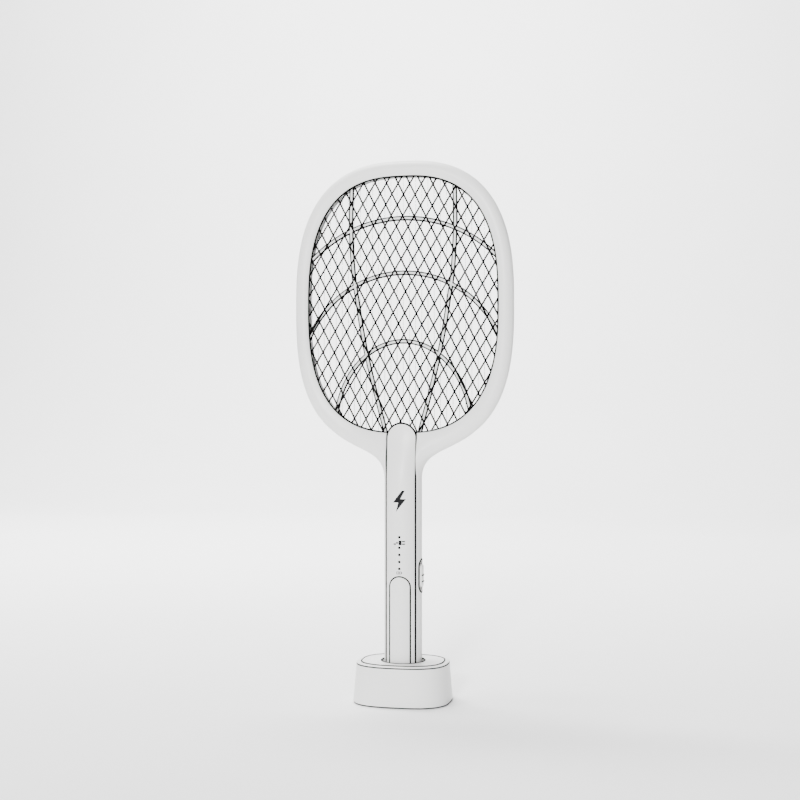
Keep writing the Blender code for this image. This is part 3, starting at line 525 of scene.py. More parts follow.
def frame_half(side, edge_x):
    inner, opening_ends = inner_half(edge_x)
    sections = []
    for row, (o, i) in enumerate(zip(outer_half(), inner)):
        rounded = 0.9 if row <= opening_ends else 0.0
        if edge_x > 0:
            rounded = mix(0.35, 0.9, blend(236.0, 256.0, i[1]))
        sections.append(frame_section(o, i, rounded))
    count, wall = len(sections[0]), 3 + ROUND_STEPS + 5 + 4 - 1
    points, faces = [], []
    for mirror in (1, -1):
        base = len(points)
        points += [(mirror * x, side * y, z) for section in sections for x, y, z in section]
        for row in range(len(sections) - 1):
            a, b = base + row * count, base + (row + 1) * count
            for k in range(count):
                if edge_x > 0 or row < opening_ends or k != wall:
                    j = (k + 1) % count
                    faces.append((a + k, a + j, b + j, b + k))
        faces.append(tuple(base + (len(sections) - 1) * count + k for k in range(count)))
    return points, faces


# ---------- the strips on the front of the handle ----------

def handle_skin(x, z):
    """Half depth of the front skin at x on a level of the handle or throat."""
    share = blend(206.0, 258.0, z)
    crown = mix(HANDLE_R, NOSE_HALF_DEPTH, share)
    edge = mix(math.sqrt(HANDLE_R**2 - PANEL_HALF_WIDTH**2), NOSE_HALF_DEPTH - 1.6, share)
    t = min(abs(x) / HANDLE_R, 0.98)
    fall = (1 - math.sqrt(1 - t * t)) / (1 - math.sqrt(1 - (PANEL_HALF_WIDTH / HANDLE_R) ** 2))
    return mix(crown, edge, fall)


STRIP_END = 28  # steps round the end of a strip


def strip_loop(half_width, low, high, round_low, levels):
    """A closed outline: a half round top, sides with points at the levels, a flat or half round bottom."""
    top = half_turn(half_width, high - half_width, 0.0, STRIP_END)
    floor = low + half_width if round_low else low
    down = [max(floor, min(z, high - half_width)) for z in levels]
    sides = [(-half_width, z) for z in down]
    if round_low:
        bottom = half_turn(half_width, floor, math.pi, STRIP_END)
    else:
        bottom = [(mix(-half_width, half_width, i / STRIP_END), low) for i in range(STRIP_END + 1)]
    return top + sides + bottom + [(half_width, z) for z in down[::-1]]


def strip_shape(half_width, low, high, round_low, levels, proud, rounded):
    """A skin strip with rounded edges, built from loops that step in from its outline."""
    floor_in = 1.0 if round_low else 0.0
    sections = []
    backs = [half_width * t for t in (0.97, 0.8, 0.6, 0.4, 0.2, 0.0)]
    for inset in backs:
        loop = strip_loop(half_width - inset, low + inset * floor_in, high - inset, round_low, levels)
        sections.append([(x, -handle_skin(x, z) - proud + WALL, z) for x, z in loop])
    edges = [rounded * (1 - math.cos(math.radians(a))) for a in (0, 18, 36, 54, 72, 90)]
    fronts = edges + [mix(rounded, half_width * 0.97, (k / 22)) for k in range(1, 23)]
    for inset in fronts:
        loop = strip_loop(half_width - inset, low + inset * floor_in, high - inset, round_low, levels)
        drop = rounded - math.sqrt(max(0.0, rounded**2 - (rounded - min(inset, rounded)) ** 2))
        sections.append([(x, -handle_skin(x, z) - proud + drop, z) for x, z in loop])
    return loft_with_strips(sections, STRIP_END // 2)


def flared_slot(half_width, low, high, levels, flare):
    """A cutter for a slot through the skin whose mouth is rounded by flare."""
    steps = [(0.0, -6.0), (0.0, -flare), (flare * 0.08, -flare * 0.6), (flare * 0.3, -flare * 0.28),
             (flare * 0.65, -flare * 0.06), (flare, 0.0), (flare * 1.05, 4.0)]
    sections = []
    for grow, height in steps:
        loop = strip_loop(half_width + grow, low - grow, high + grow, True, levels)
        sections.append([(x, -handle_skin(x, z) - height, z) for x, z in loop])
    return loft_with_strips(sections, STRIP_END // 2)


def print_on_panel(name, outlines):
    """Ink laid on the panel: outlines of (x, z) points, cut into narrow strips that follow its surface."""
    lift, depth, strip_width = 0.04, 0.25, 0.5
    work = bmesh.new()
    for outline in outlines:
        work.faces.new([work.verts.new((x, 0, z)) for x, z in outline])
    for k in range(-20, 21):
        everything = work.verts[:] + work.edges[:] + work.faces[:]
        bmesh.ops.bisect_plane(work, geom=everything, plane_co=(k * strip_width, 0, 0), plane_no=(1, 0, 0))
    made = bmesh.ops.extrude_face_region(work, geom=work.faces[:])
    backs = {item for item in made["geom"] if isinstance(item, bmesh.types.BMVert)}
    for vert in work.verts:
        x, z = vert.co.x, vert.co.z
        out = -depth if vert in backs else lift
        vert.co = Vector((x, -handle_skin(x, z) - out, z)) * MM
    bmesh.ops.recalc_face_normals(work, faces=work.faces)
    mesh = bpy.data.meshes.new(name)
    work.to_mesh(mesh)
    work.free()
    return finish_piece(add_object(name, mesh), "ink", "racket")


def screw_spots():
    """Each shell screw's x and z, read from the solids, and its kind: 0 round the head, 1 down the handle."""
    spots = []
    for number in range(1, 11):
        low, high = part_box(f"shell_screw_{number}")
        x, z = ((low[k] + high[k]) / 2 / MM for k in (0, 2))
        spots.append((x, z, int(abs(x) <= 1)))
    return spots


def window_cutter():
    half_length = BEZEL_HALF_LENGTH + 0.3
    hole = stadium(BEZEL_HALF_WIDTH + 0.3, SWITCH_Z - half_length, SWITCH_Z + half_length)
    return prism(hole, "X", 9.0, 24.0)


def make_shells():
    front = mesh_object("front_shell_skin", *frame_half(-1, SLOT_HALF_WIDTH))
    apply_cuts(front, ("DIFFERENCE", window_cutter()))
    finish_piece(front, "white", "racket", ("front_shell",))
    rear = mesh_object("rear_shell_skin", *frame_half(1, 0.0))
    bores = []
    for x, z, kind in screw_spots():
        floor, top = BORE_FLOOR_Y[kind], SKIN_Y[kind]
        bores.append(turned([(1.35, 0.3), (1.35, floor), (2.5, floor), (2.5, top - 0.45), (2.62, top - 0.15),
                             (2.95, top + 0.15), (3.3, 20.0)], "Y", x, z, 32))
    posts = [turned([(2.9, 0.4), (2.9, POST_END_Y[kind])], "Y", x, z, 32) for x, z, kind in screw_spots()]
    apply_cuts(rear, ("UNION", merge_shapes(posts)), ("DIFFERENCE", merge_shapes(bores)),
               ("DIFFERENCE", window_cutter()))
    finish_piece(rear, "white", "racket", ("rear_shell",))


def screw_profile(head_r, seat, top, tip):
    """The outline of a pan head screw along its axis, before its cross is cut."""
    step = (top - seat) / 6
    dome = [(head_r * 0.55, top), (head_r * 0.86, top - step * 0.7), (head_r * 0.98, top - step * 2)]
    return dome + [(head_r, top - step * 3), (head_r, seat), (1.05, seat), (1.05, tip)]


def make_screws():
    """Cross-recessed pan head screws, in the rear shell's bores and under the dock."""
    arm, arm_reach = 0.3, 1.3
    for number, (x, z, kind) in enumerate(screw_spots(), start=1):
        seat, tip = SCREW_SEAT_Y[kind], SCREW_TIP_Y[kind]
        profile = screw_profile(2.2, seat, seat + 1.7, tip)
        screw = mesh_object(f"shell_screw_{number}_fine", *turned(profile, "Y", x, z, 32))
        turn = math.radians(17 * number)
        cuts = []
        for quarter in (0, math.pi / 2):
            c, s = math.cos(turn + quarter), math.sin(turn + quarter)
            corners = rectangle(-arm_reach, -arm, arm_reach, arm)
            loop = [(x + c * a - s * b, z + s * a + c * b) for a, b in corners]
            cuts.append(("DIFFERENCE", prism(loop, "Y", seat + 0.75, seat + 3)))
        apply_cuts(screw, *cuts)
        finish_piece(screw, "steel", "racket", (f"shell_screw_{number}",))
    for number, (x, y) in enumerate(BASE_SCREW_SPOTS, start=1):
        profile = [(1.4, 1.3), (2.0, 1.42), (2.25, 1.75), (2.3, 2.4), (1.05, 2.4), (1.05, 13.0)]
        screw = mesh_object(f"base_screw_{number}_fine", *turned(profile, "Z", x, y, 32))
        cuts = [("DIFFERENCE", box_shape((x - a, y - b, 0.5), (x + a, y + b, 2.0)))
                for a, b in ((arm_reach, arm), (arm, arm_reach))]
        apply_cuts(screw, *cuts)
        finish_piece(screw, "steel", "dock", (f"base_screw_{number}",))


def make_panel():
    levels = [243.0 - 2.0 * i for i in range(20)] + [203.0, 196.0, 170.0, 120.0, 60.0]
    high = NOSE_CENTRE_Z + PANEL_HALF_WIDTH
    shape = strip_shape(PANEL_HALF_WIDTH, HANDLE_BOTTOM_Z, high, False, levels, 0.0, 0.4)
    panel = mesh_object("front_panel_skin", *shape)
    gap = KEY_SLOT_GAP
    slot = flared_slot(KEY_HALF_WIDTH + gap, KEY_Z[0] - gap, KEY_Z[1] + gap, KEY_LEVELS, 0.12)
    holes = [turned([(1.25, -25.0), (1.25, -12.0)], "Y", 0, z, 24) for z in INDICATOR_Z]
    apply_cuts(panel, ("DIFFERENCE", slot), ("DIFFERENCE", merge_shapes(holes)))
    finish_piece(panel, "white", "racket", ("front_panel",))
    key_low, key_high = KEY_Z[0] + KEY_LESS, KEY_Z[1] - KEY_LESS
    key = strip_shape(KEY_HALF_WIDTH - KEY_LESS, key_low, key_high, True, KEY_LEVELS, KEY_PROUD, 0.2)
    stems = [turned([(2.0, -17.2), (2.0, -13.8)], "Y", 0, z, 24) for z in KEY_SWITCH_Z]
    piece("trigger_button_skin", merge_shapes([key] + stems), "key", "trigger",
          ("trigger_button",))


def make_gap_shades():
    """Painted shade: black strips laid in the gap round the panel, as a slim piping, and in the gap round the
    key.
    """
    low = HANDLE_BOTTOM_Z + 0.5
    levels = [low, 60.0, 120.0, 170.0, 200.0] + [206.0 + 2.0 * i for i in range(21)]
    course = [((1, 0), (0, z)) for z in levels]
    for i in range(41):
        t = math.pi * i / 40
        course.append(((math.cos(t), math.sin(t)), (0, NOSE_CENTRE_Z)))
    course += [((-1, 0), (0, z)) for z in levels[::-1]]
    sections = []
    for (dx, dz), (x0, z0) in course:
        proud = mix(0.9, 0.25, blend(200.0, 244.0, z0))
        wide = 1.15 + 0.4 * dz
        section = []
        for grow, out in ((-0.3, -1.4), (-0.05, proud * 0.6), (0.2, proud), (wide - 0.25, proud),
                          (wide, proud * 0.6), (wide, -1.4)):
            x, z = x0 + dx * (PANEL_HALF_WIDTH + grow), z0 + dz * (PANEL_HALF_WIDTH + grow)
            section.append((x, -handle_skin(x, z) - out, z))
        sections.append(section)
    # painted shade along the panel's gap
    piece("panel_gap_shade", loft(sections), "painted_shade", "racket", sharp=60)
    rows = []
    for grow, depth in ((-0.2, 0.06), (-0.2, 1.5), (KEY_GAP + 0.7, 1.5), (KEY_GAP + 0.7, 0.06)):
        loop = strip_loop(KEY_HALF_WIDTH + grow, KEY_Z[0] - grow, KEY_Z[1] + grow, True, KEY_LEVELS)
        rows.append([(x, -handle_skin(x, z) + depth, z) for x, z in loop])
    # painted shade in the gap round the key
    piece("key_gap_shade", loft(rows, closed=True), "painted_shade", "racket")


def make_prints():
    """Generic pictograms in dark ink: a bolt, a plug by the top light and a battery under the lowest one."""
    bolt = [(2.4, 198.5), (-6.2, 187.4), (-1.1, 187.4), (-3.2, 178.6), (6.2, 190.6), (0.9, 190.6),
            (5.2, 198.5)]
    print_on_panel("bolt_pictogram", [bolt[::-1]])
    plug = [rectangle(-0.6, 147.7, 2.2, 151.9),
            rectangle(2.6, 148.0, 5.4, 149.2), rectangle(2.6, 150.4, 5.4, 151.6),
            rectangle(-3.2, 149.1, -1.0, 150.4), rectangle(-5.6, 147.9, -3.2, 149.2)]
    print_on_panel("plug_pictogram", plug)
    x0, x1, z0, z1, line = -2.7, 2.1, 120.5, 123.0, 0.45
    battery = [rectangle(x0, z0, x1, z0 + line), rectangle(x0, z1 - line, x1, z1),
               rectangle(x0, z0 + line, x0 + line, z1 - line), rectangle(x1 - line, z0 + line, x1, z1 - line),
               rectangle(x1 + 0.05, z0 + 0.7, x1 + 0.55, z1 - 0.7),
               rectangle(-1.2, z0 + 0.65, -0.6, z1 - 0.65), rectangle(0.0, z0 + 0.65, 0.6, z1 - 0.65)]
    print_on_panel("battery_pictogram", battery)


def make_indicators():
    strip = box_shape((-2.5, -12.0, INDICATOR_Z[0] - 3), (2.5, -10.2, INDICATOR_Z[-1] + 3))
    lens = [(0.8, -17.79), (1.05, -17.76), (1.2, -17.66), (1.2, -11.0)]
    posts = [turned(lens, "Y", 0, z, 24) for z in INDICATOR_Z]
    piece("indicator_windows", merge_shapes([strip] + posts), "smoke", "racket",
          ("indicator_light_pipe",))


# ---------- nets ----------

def in_line(x, z, side, distance):
    """Where a point of the front layer falls on the rear one, in line with it as the main view sees it."""
    if side < 0:
        return x, z
    share = (distance - EYE.y) / (-distance - EYE.y)
    return mix(EYE.x, x, share), mix(EYE.z, z, share)


def ring_shape(inside_grow, outside_grow, low, high, side=-1, edge=0.25):
    """A flat ring between two outlines round the opening, with softened inner corners."""
    outer = opening_outline(outside_grow)
    inner, soft = ([in_line(*p, side, NET_Y) for p in opening_outline(grow)]
                   for grow in (inside_grow, inside_grow + edge))
    rows = ((outer, low), (outer, high), (soft, high), (inner, high - edge), (inner, low + edge), (soft, low))
    return loft([[(x, y, z) for x, z in outline] for outline, y in rows], closed=True)


def clipped(path, grow):
    """The stretches of a dense path that lie inside the opening grown by grow."""
    runs, run = [], []
    for point in path:
        if inside_opening(point[0], point[1], grow):
            run.append(point)
        elif run:
            runs.append(run)
            run = []
    return [r for r in runs + [run] if len(r) > 1]


def make_net(name, side, stands_for):
    """A welded lozenge net: two crossing families of round wires and a flat rim."""
    node, across, up = Vector(NET_NODE), Vector(CELL_ACROSS), Vector(CELL_UP)
    shapes = []
    for slant, offset in ((up + across, 0.16), (up - across, -0.16)):
        for i in range(-24, 25):
            start = node + i * across
            path = [in_line(*(start + slant * (k / 100)), side, NET_Y) for k in range(-760, 761)]
            for run in clipped(path, 2.2):
                ends = [run[0], run[-1]]
                if math.dist(*ends) > 1.5:
                    shapes.append(tube([(x, side * NET_Y + offset, z) for x, z in ends], WIRE_R, 10))
    shapes.append(ring_shape(-NET_EDGE, NET_TUCK, side * NET_Y - 0.45, side * NET_Y + 0.45, side))
    piece(name, merge_shapes(shapes), "wire", "racket", stands_for, 50)


def bar_shape(path, low, high, half_width, edge):
    """A bar with rounded corners along a path of (x, z) points, between two levels of y."""
    across = rounded_rectangle(half_width, (high - low) / 2, edge, 5)
    sections = []
    for i, (x, z) in enumerate(path):
        (x0, z0), (x1, z1) = path[max(i - 1, 0)], path[min(i + 1, len(path) - 1)]
        length = math.hypot(x1 - x0, z1 - z0)
        nx, nz = -(z1 - z0) / length, (x1 - x0) / length
        sections.append([(x + nx * a, (low + high) / 2 + b, z + nz * a) for a, b in across])
    return loft(sections)


def smooth_path(points, per=8):
    """A Catmull-Rom curve through points."""
    path = []
    padded = [points[0], *points, points[-1]]
    for p0, p1, p2, p3 in zip(padded, padded[1:], padded[2:], padded[3:]):
        for k in range(per):
            t = k / per
            path.append(tuple(0.5 * (2 * b + (c - a) * t + (2 * a - 5 * b + 4 * c - d) * t * t
                                     + (3 * b - a - 3 * c + d) * t**3) for a, b, c, d in zip(p0, p1, p2, p3)))
    return path + [points[-1]]


def make_opening_shade(place, side):
    """A slim black ring round the inner edge of the opening: painted shade along that edge."""
    low, high = sorted((side * 5.6, side * 6.6))
    piece(f"{place}_opening_trim", ring_shape(-1.1, 0.5, low, high, side), "painted_shade", "racket")


def make_carrier(place, side):
    """Arched and upright ribs on a ring: pale bars with a black strip down both sides, painted shade on their
    flanks.
    """
    low, high = sorted(side * y for y in CARRIER_Y)
    middle = sum(CARRIER_Y) / 2
    paths = []
    for crown, half_width, height in ARCHES:
        turns = [math.pi * i / 1440 for i in range(1441)]
        arch = [(half_width * math.cos(t), crown - height + height * math.sin(t)) for t in turns]
        paths += [(spaced(run, 96), 0.0) for run in clipped([in_line(*p, side, middle) for p in arch], 1.5)]
    for mirror in (1, -1):
        paths.append(([in_line(mirror * x, z, side, middle) for x, z in smooth_path(list(SIDE_RIB))], 0.06))
    bars = [bar_shape(path, low + less, high - less, BAR_HALF_WIDTH, 0.5) for path, less in paths]
    # painted shade: black strips showing either side of each bar
    flank_shades = [bar_shape(path, low + 0.5 + less, high - 0.5 - less, FLANK_SHADE_HALF_WIDTH, 0.3)
              for path, less in paths]
    ring = ring_shape(-0.3, NET_TUCK, low, high, side, 0.4)
    piece(f"{place}_net_carrier", merge_shapes([ring] + bars), "white", "racket",
          (f"{place}_mesh_carrier",))
    piece(f"{place}_rib_edging", merge_shapes(flank_shades), "painted_shade", "racket")


def make_grid():
    """Thin upright live wires on a slim metal frame, between the two nets."""
    shapes = [ring_shape(0.6, NET_TUCK, -0.4, 0.4)]
    for i in range(-15, 16):
        x = i * 6.0
        levels = [z for z in (240 + 0.25 * k for k in range(1081)) if inside_opening(x, z, 2.0)]
        if levels:
            shapes.append(tube([(x, 0, levels[0]), (x, 0, levels[-1])], 0.22, 8))
    piece("live_wires", merge_shapes(shapes), "bright", "racket", ("live_grid",), 50)


# ---------- side switch ----------

def make_side_switch():
    low, high = SWITCH_Z - BEZEL_HALF_LENGTH, SWITCH_Z + BEZEL_HALF_LENGTH

    def at(inset, rise):
        """An outline of the bezel, stepped in by inset and laid on the handle's side, rise above it."""
        loop = stadium(BEZEL_HALF_WIDTH - inset, low + inset, high - inset, 28)
        return [(math.sqrt(HANDLE_R**2 - y * y) + rise, y, z) for y, z in loop]

    def sunk(inset):
        loop = stadium(BEZEL_HALF_WIDTH - inset, low + inset, high - inset, 28)
        return [(BEZEL_FOOT_X, y, z) for y, z in loop]

    crown = ((0, -0.1), (0.05, 0.16), (0.2, 0.33), (0.45, BEZEL_PROUD), (0.85, BEZEL_PROUD), (1.1, 0.33),
             (1.25, 0.16), (BEZEL_RIM, -0.1))
    rows = [sunk(0.0)] + [at(inset, rise) for inset, rise in crown] + [sunk(BEZEL_RIM)]
    piece("switch_bezel_fine", loft(rows, closed=True), "white", "racket", ("switch_bezel",))
    knob = []
    for inset, x in ((0, 11.2), (0, 18.3), (0.08, 18.7), (0.3, 19.05), (0.7, 19.25), (1.4, 19.36),
                     (3.0, KNOB_TOP_X), (4.6, KNOB_TOP_X)):
        half_length = KNOB_HALF_LENGTH - inset
        loop = stadium(KNOB_HALF_WIDTH - inset, SWITCH_Z - half_length, SWITCH_Z + half_length, 24)
        knob.append([(x - 0.018 * y * y, y, z) for y, z in loop])
    slider = mesh_object("switch_knob_fine", *loft(knob))
    levels = [SWITCH_Z + offset for offset in GROOVE_OFFSETS]
    grooves = [prism(rectangle(-6, z - 0.55, 6, z + 0.55), "X", KNOB_TOP_X - 0.75, 22.0) for z in levels]
    apply_cuts(slider, ("DIFFERENCE", merge_shapes(grooves)))
    finish_piece(slider, "white", "power_switch", ("switch_slider",))
    # painted shade: black fills in the knob's grooves
    groove_shades = [box_shape((KNOB_TOP_X - 0.9, -3.6, z - 0.6), (KNOB_TOP_X + 0.2, 3.6, z + 0.6)) for z in levels]
    piece("switch_groove_shade", merge_shapes(groove_shades), "painted_shade", "power_switch")
    # painted shade: a black floor in the well round the knob
    floor = prism(stadium(BEZEL_HALF_WIDTH - 0.7, low + 0.7, high - 0.7, 20), "X", 10.85, 11.05)
    piece("switch_well_shade", floor, "painted_shade", "racket")
    # painted shade: a black ring in the gap round the bezel
    ring = [at(-1.0, -0.9), at(-1.0, 0.1), at(-0.75, 0.4), at(-0.1, 0.55), at(0.35, 0.5), at(0.35, -0.9)]
    piece("switch_gap_shade", loft(ring, closed=True), "painted_shade", "racket")


# ---------- dock ----------

AROUND = 160


def dock_loop(half_width, half_depth, power, z, inset):
    loop = []
    for i in range(AROUND):
        t = 2 * math.pi * (i + 0.5) / AROUND
        c, s = math.cos(t), math.sin(t)
        loop.append((math.copysign(abs(c) ** (2 / power), c) * (half_width - inset),
                     math.copysign(abs(s) ** (2 / power), s) * (half_depth - inset), z))
    return loop


def dock_level(z, inset=0.0):
    t = (z - DOCK_BOTTOM_Z) / (DOCK_EDGE_Z - DOCK_BOTTOM_Z)
    return dock_loop(*(mix(a, b, t) for a, b in zip(DOCK_LOW, DOCK_EDGE)), z, inset)


def dock_levels(*steps):
    """Outlines of the dock's side at each (level, inset)."""
    return [dock_level(z, inset) for z, inset in steps]


def well_loop(radius, z):
    return [(x, y, z) for x, y in circle(radius, count=AROUND)]


def dock_outside():
    """The housing's outer skin from its foot, past a groove below the shoulder, to the sunk top plate."""
    foot = [(0.0, 1.3), (0.12, 0.75), (0.45, 0.3), (1.0, 0.06), (1.7, 0.0)]
    levels = [dock_level(DOCK_BOTTOM_Z + rise, inset) for rise, inset in foot]
    levels += [dock_level(z) for z in (8.0, 16.0, 24.0, 31.0, 35.0)]
    seam = [(35.5, 0.0), (35.52, 0.02), (35.52, 1.0), (36.68, 1.0), (36.68, 0.02), (36.7, 0.0)]
    levels += dock_levels(*seam)
    shoulder = [(36.9, 0.02), (37.15, 0.2), (37.3, 0.55), (37.45, 1.6), (37.55, 2.8), (37.6, 3.6)]
    plate = [(37.3, 3.9), (37.0, 4.4), (37.0, 5.0), (PLATE_Z, 5.1), (PLATE_Z, 8.0)]
    return levels + [dock_loop(*DOCK_EDGE, z, inset) for z, inset in shoulder + plate]


def dock_well():
    """The well's rounded mouth, wall and floor edge."""
    mouth = [(2.0, 0.0), (1.2, 0.0), (1.2, 0.7), (0.0, 0.7)]
    rows = [well_loop(WELL_R + grow, PLATE_Z - drop) for grow, drop in mouth]
    floor = [(0.4, 1.2), (0.8, 0.3), (1.6, 0.0)]
    return rows + [well_loop(WELL_R - shrink, WELL_FLOOR_Z + rise) for shrink, rise in floor]


def dock_gap_shades():
    """Painted shade: black strips in the groove below the shoulder, round the top plate, at the well's mouth
    and at the foot.
    """
    groove = dock_levels((35.52, 0.9), (35.52, 0.06), (35.65, 0.01), (36.55, 0.01), (36.68, 0.06),
                         (36.68, 0.9))
    rim = [dock_loop(*DOCK_EDGE, z, inset) for z, inset in
           ((36.9, 4.95), (36.9, 4.3), (37.6, 4.05), (38.05, 4.05), (DOCK_TOP_Z, 4.3), (DOCK_TOP_Z, 4.75),
            (38.05, 5.0), (37.6, 5.0))]
    lip = [well_loop(WELL_R + grow, z) for grow, z in
           ((0.15, 37.0), (1.3, 37.0), (1.3, 38.0), (1.0, DOCK_TOP_Z), (0.4, DOCK_TOP_Z), (0.15, 38.05))]
    skirt = dock_levels((0.3, 3.0), (0.3, 0.9), (0.5, 0.6), (1.15, 0.5), (1.25, 3.0))
    return merge_shapes([loft(rows, closed=True) for rows in (groove, rim, lip, skirt)])


def dock_port_cutter():
    """The flared mouth of the USB inlet in the rear wall."""
    mouth = rounded_rectangle(4.9, 1.95, 1.9)
    steps = ((30.0, 1.0, 1.0), (38.3, 1.0, 1.0), (39.0, 1.06, 1.14), (41.0, 1.2, 1.5))
    return loft([[(a * wide, y, PORT_Z + b * tall) for a, b in mouth] for y, wide, tall in steps])


def make_dock_housing():
    ceiling_z, cup_r = DOCK_TOP_Z - DOCK_WALL, WELL_R + WELL_WALL
    inside = [well_loop(cup_r - 1.0, WELL_FLOOR_Z - 2.0), well_loop(cup_r, WELL_FLOOR_Z),
              well_loop(cup_r, ceiling_z), dock_level(ceiling_z, DOCK_WALL + 1.2),
              dock_level(DOCK_EDGE_Z - 4.0, DOCK_WALL), dock_level(DOCK_BOTTOM_Z, DOCK_WALL)]
    housing = mesh_object("dock_housing_fine", *loft(inside + dock_outside() + dock_well()))
    posts = [turned([(3.5, 3.9), (3.5, DOCK_TOP_Z - 1.5)], "Z", x, y, 32) for x, y in BASE_SCREW_SPOTS]
    cuts = [turned([(1.5, 0.0), (1.5, 16.0)], "Z", x, y, 24) for x, y in BASE_SCREW_SPOTS]
    bore = [(PIN_R + 0.35, 5.0), (PIN_R + 0.35, WELL_FLOOR_Z - 0.3), (PIN_R + 0.7, WELL_FLOOR_Z + 0.1),
            (PIN_R + 0.7, 20)]
    cuts += [turned(bore, "Z", side * PIN_X, 0, 32) for side in (-1, 1)]
    cuts.append(dock_port_cutter())
    apply_cuts(housing, ("UNION", merge_shapes(posts)), ("DIFFERENCE", merge_shapes(cuts)))
    finish_piece(housing, "white", "dock", ("dock_housing",))
    # painted shade in the dock's groove, round its plate, at the well's mouth and at its foot
    piece("dock_gap_shades", dock_gap_shades(), "painted_shade", "dock")


def make_dock_base():
    levels = [dock_level(z, DOCK_WALL + inset) for z, inset in
              ((1.5, 1.4), (1.62, 0.9), (1.9, 0.4), (3.5, 0.4))]
    base = mesh_object("dock_base_fine", *loft(levels))
    bore = [(3.1, 0.0), (3.1, 1.5), (2.7, 1.8), (2.7, 2.6), (1.4, 2.6), (1.4, 6.0)]
    bores = [turned(bore, "Z", x, y, 32) for x, y in BASE_SCREW_SPOTS]
    apply_cuts(base, ("DIFFERENCE", merge_shapes(bores)))
    finish_piece(base, "white", "dock", ("dock_base_plate",))
    profile = [(3.6, 0.0), (4.5, 0.0), (4.8, 0.12), (4.95, 0.35), (5.0, 0.7), (5.0, 1.3)]
    for number, (x, y) in enumerate(FOOT_SPOTS, start=1):
        foot = turned(profile, "Z", x, y, 64)
        piece(f"rubber_foot_{number}_fine", foot, "rubber", "dock", (f"rubber_foot_{number}",))


def make_dock_fittings():
    """The USB inlet and the two charge pins."""
    steps = ((31.0, 1), (38.2, 1), (38.4, 0.985), (38.4, 0.94), (38.2, 0.925), (31.3, 0.925))
    port = [[(a * k, y, 7.3 + b * k) for a, b in rounded_rectangle(4.5, 1.6, 1.55)] for y, k in steps]
    piece("usb_port_fine", loft(port), "bright", "dock", ("usb_port",))
    piece("usb_tongue", box_shape((-3.1, 31.3, 7.0), (3.1, 37.4, 7.6)), "black", "dock")
    tip = [(1, 5.9), (1, 11.9), (0.96, 12.25), (0.8, 12.52), (0.5, 12.66), (0.15, 12.7)]
    for place, side in (("left", -1), ("right", 1)):
        pin = turned([(PIN_R * share, z) for share, z in tip], "Z", side * PIN_X, 0, 32)
        piece(f"charge_pin_{place}_fine", pin, "gold", f"charge_pin_{place}",
              (f"charge_pin_{place}",))


def make_handle_end():
    """The cap at the foot of the handle, with a charge contact behind each of its two holes."""
    low = HANDLE_BOTTOM_Z + 0.2
    profile = [(14.6, low), (14.95, low + 0.1), (15.15, low + 0.3), (15.2, low + 0.6), (15.2, low + 3.0)]
    cap = mesh_object("handle_end_cap_fine", *turned(profile, "Z", count=96))
    hole = [(3.7, 0.0), (3.7, low - 0.1), (3.4, low + 0.3), (3.4, 30.0)]
    holes = [turned(hole, "Z", side * PIN_X, 0, 40) for side in (-1, 1)]
    apply_cuts(cap, ("DIFFERENCE", merge_shapes(holes)))
    finish_piece(cap, "white", "racket", ("handle_end_cap",))
    contact = [(2.1, low + 0.72), (2.3, low + 0.5), (2.85, low + 0.52), (3.0, low + 0.7), (3.0, low + 2.0),
               (1.2, low + 2.0), (1.2, low + 6.0)]
    for place, side in (("left", -1), ("right", 1)):
        shape = turned(contact, "Z", side * PIN_X, 0, 40)
        piece(f"charge_contact_{place}_fine", shape, "gold", "racket",
              (f"charge_contact_{place}",))


# ---------- inside pieces that stay as they are ----------

FINISHES = {
    "board": ("main_board", "dock_board", "uv_lamp_board"),
    "black": ("slide_switch_body", "trigger_microswitch_lower", "trigger_microswitch_upper", "ground_lead",
              "pin_sleeve_left", "pin_sleeve_right"),
    "red": ("high_voltage_capacitor", "live_lead"),
    "cell": ("battery_cell",),
    "winding": ("high_voltage_transformer",),
    "lens": ("uv_lens",),
    "led": ("uv_led_1", "uv_led_2", "uv_led_3"),
}


def paint_nodes():
    for finish, names in FINISHES.items():
        for name in names:
            mesh = nodes[name].data
            if not mesh.materials:
                mesh.materials.append(None)
            for place in range(len(mesh.materials)):
                mesh.materials[place] = MATS[finish]


# ---------- stage ----------

def stage_material():
    made = Recipe("stage_paper", 0.9)
    made.colours(made.noise(3.0), (0.3, (0.88, 0.88, 0.88)), (0.7, (0.90, 0.90, 0.90)))
    return made.material


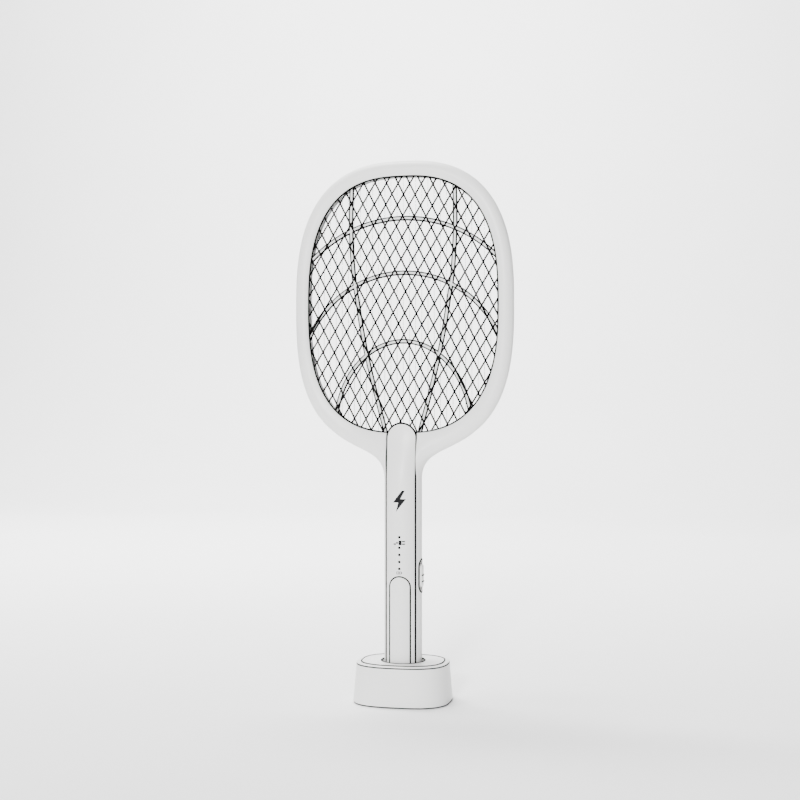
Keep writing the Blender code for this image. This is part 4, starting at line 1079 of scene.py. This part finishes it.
def make_stage():
    """A pale floor that sweeps up behind the object."""
    path = [(-6.0, 0.0), (2.5, 0.0)]
    for degrees in range(6, 91, 6):
        a = math.radians(degrees)
        path.append((2.5 + 1.5 * math.sin(a), 1.5 - 1.5 * math.cos(a)))
    path.append((4.0, 7.0))
    points = [(x, y, z) for y, z in path for x in (-7.0, 7.0)]
    faces = [(2 * i, 2 * i + 1, 2 * i + 3, 2 * i + 2) for i in range(len(path) - 1)]
    mesh = bpy.data.meshes.new("stage_floor")
    mesh.from_pydata(points, [], faces)
    mesh.shade_smooth()
    mesh.materials.append(stage_material())
    floor = add_object("stage_floor", mesh)


def add_light(name, place, target, size, watts):
    light = bpy.data.lights.new(name, "AREA")
    light.shape, light.size, light.energy = "DISK", size, watts
    obj = add_object(name, light)
    obj.location = place
    obj.rotation_euler = (Vector(target) - Vector(place)).to_track_quat("-Z", "Y").to_euler()


def make_camera_and_lights():
    camera = bpy.data.cameras.new("camera")
    camera.lens, camera.sensor_width = CAMERA_LENS, 36.0
    camera.clip_start, camera.clip_end = 0.05, 60.0
    eye = add_object("camera", camera)
    eye.location = EYE * MM
    eye.rotation_euler = (AIM - EYE).to_track_quat("-Z", "Y").to_euler()
    bpy.context.scene.camera = eye
    add_light("front", (0.0, -2.3, 0.85), (0.0, 0.0, 0.28), size=0.35, watts=102)
    add_light("above", (-0.4, 0.0, 2.2), (-0.1, 0.1, 0.0), size=0.6, watts=44)
    add_light("backdrop", (-0.9, 1.0, 2.8), (-0.9, 3.8, 0.8), size=2.4, watts=510)
    world = bpy.data.worlds.new("world")
    world.use_nodes = True
    background = world.node_tree.nodes["Background"]
    background.inputs["Color"].default_value = (1.0, 1.0, 1.0, 1.0)
    background.inputs["Strength"].default_value = 0.1
    bpy.context.scene.world = world


def build():
    make_camera_and_lights()
    make_stage()
    make_shells()
    make_screws()
    make_panel()
    make_gap_shades()
    make_prints()
    make_indicators()
    for place, side in (("front", -1), ("rear", 1)):
        make_net(f"{place}_net", side, (f"{place}_mesh",))
        make_carrier(place, side)
        make_opening_shade(place, side)
    make_grid()
    make_side_switch()
    make_dock_housing()
    make_dock_base()
    make_dock_fittings()
    make_handle_end()
    paint_nodes()


build()
